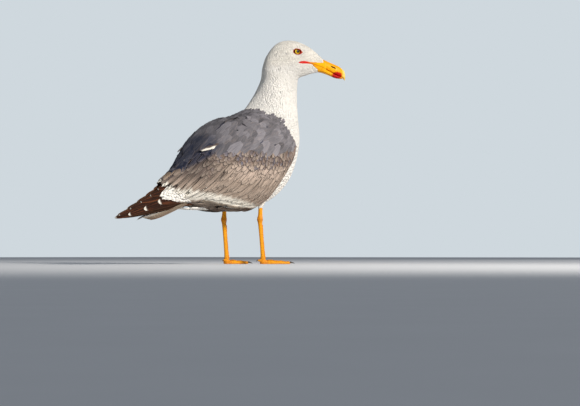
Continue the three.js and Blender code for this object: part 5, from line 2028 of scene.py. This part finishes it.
def makeScutes(sideName, limb, nodes, scuteItem):
    places, outs, lies, sizes = scuteRow(limb)
    mesh = bpy.data.meshes.new("scutes")
    mesh.from_pydata(toWorld(places).tolist(), [], [])
    for label, values in (("out", outs), ("lie", lies), ("size", sizes / 1000)):
        layer = mesh.attributes.new(label, "FLOAT_VECTOR", "POINT")
        layer.data.foreach_set("vector", values.astype(np.float32).ravel())
    piece = addObject("leg_scutes_" + sideName, mesh)
    build = piece.modifiers.new("scutes", "NODES")
    build.node_group = nodes
    settings = {"Scute": scuteItem, "Material": materials["leg"], "Seed": scutes["seed"],
            "Unevenness": scutes["unevenness"]}
    for item in nodes.interface.items_tree:
        if item.in_out == "INPUT" and item.name in settings:
            build[item.identifier] = settings[item.name]
    applyModifiers(piece)
    tintMesh(piece.data, limbColours(ownPlaces(piece.data), limb) * 1.03)
    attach(piece, "root")


def makeLeg(sideName, limb):
    start = np.array([limb["foot"], limb["y"], 0.0])
    parts = [legLoft(limb), webPlate(limb), padBall(limb)]
    for toe in toes.values():
        way = toeWay(limb["side"], toe["angle"])
        parts.append(spur(start, way, toe["length"], toeSize["steps"], toeSection, toeSize["sides"]))
    way = toeWay(limb["side"], hindToe["angle"])
    parts.append(spur(start, way, hindToe["length"], hindToe["steps"], hindSection, toeSize["sides"]))
    piece = pieceFrom("leg_skin_" + sideName, *joined(parts), materials["leg"])
    mergeSkin(piece, leg["voxel"])
    mesh = piece.data
    # nothing goes under the soles
    points = ownPlaces(mesh)
    points[:, 2] = np.maximum(points[:, 2], 0)
    mesh.vertices.foreach_set("co", toWorld(points).astype(np.float32).ravel())
    mesh.update()
    tintMesh(mesh, limbColours(points, limb))
    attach(piece, "root")
    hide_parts("leg_" + sideName, "foot_" + sideName)
    print(piece.name, "made:", len(mesh.polygons), "faces")


def makeClaw(name, limb, toe, shape):
    way = toeWay(limb["side"], toe["angle"])
    start = np.array([limb["foot"], limb["y"], 0.0]) + way * (toe["length"] + 0.1)

    def section(share, angle):
        half = shape["half"] * (1 - 0.9 * share ** 1.1)
        drop = (shape["rise"] - 0.7) * share ** 2 * shape["fall"]
        keel = 1 - 0.25 * np.clip(-np.sin(angle), 0, 1)
        return 0.72 * half * keel, shape["rise"] - drop + half * np.sin(angle) + shape["clear"]

    points, faces = spur(start, way, shape["length"], shape["steps"], section, shape["sides"])
    piece = pieceFrom(name + "_horn", points, faces, materials["claw"])
    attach(piece, "root")
    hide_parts(name)


scuteItem = bpy.data.objects.new("scute", makeScuteMesh())
scuteGroup = scuteNodes()
for limbName, limb in stance.items():
    makeLeg(limbName, limb)
    makeScutes(limbName, limb, scuteGroup, scuteItem)
    for toeName, toe in toes.items():
        makeClaw("claw_" + toeName + "_" + limbName, limb, toe, claw)
    makeClaw("claw_hind_" + limbName, limb, hindToe, hindClaw)
print("bill, eyes, legs and claws made")
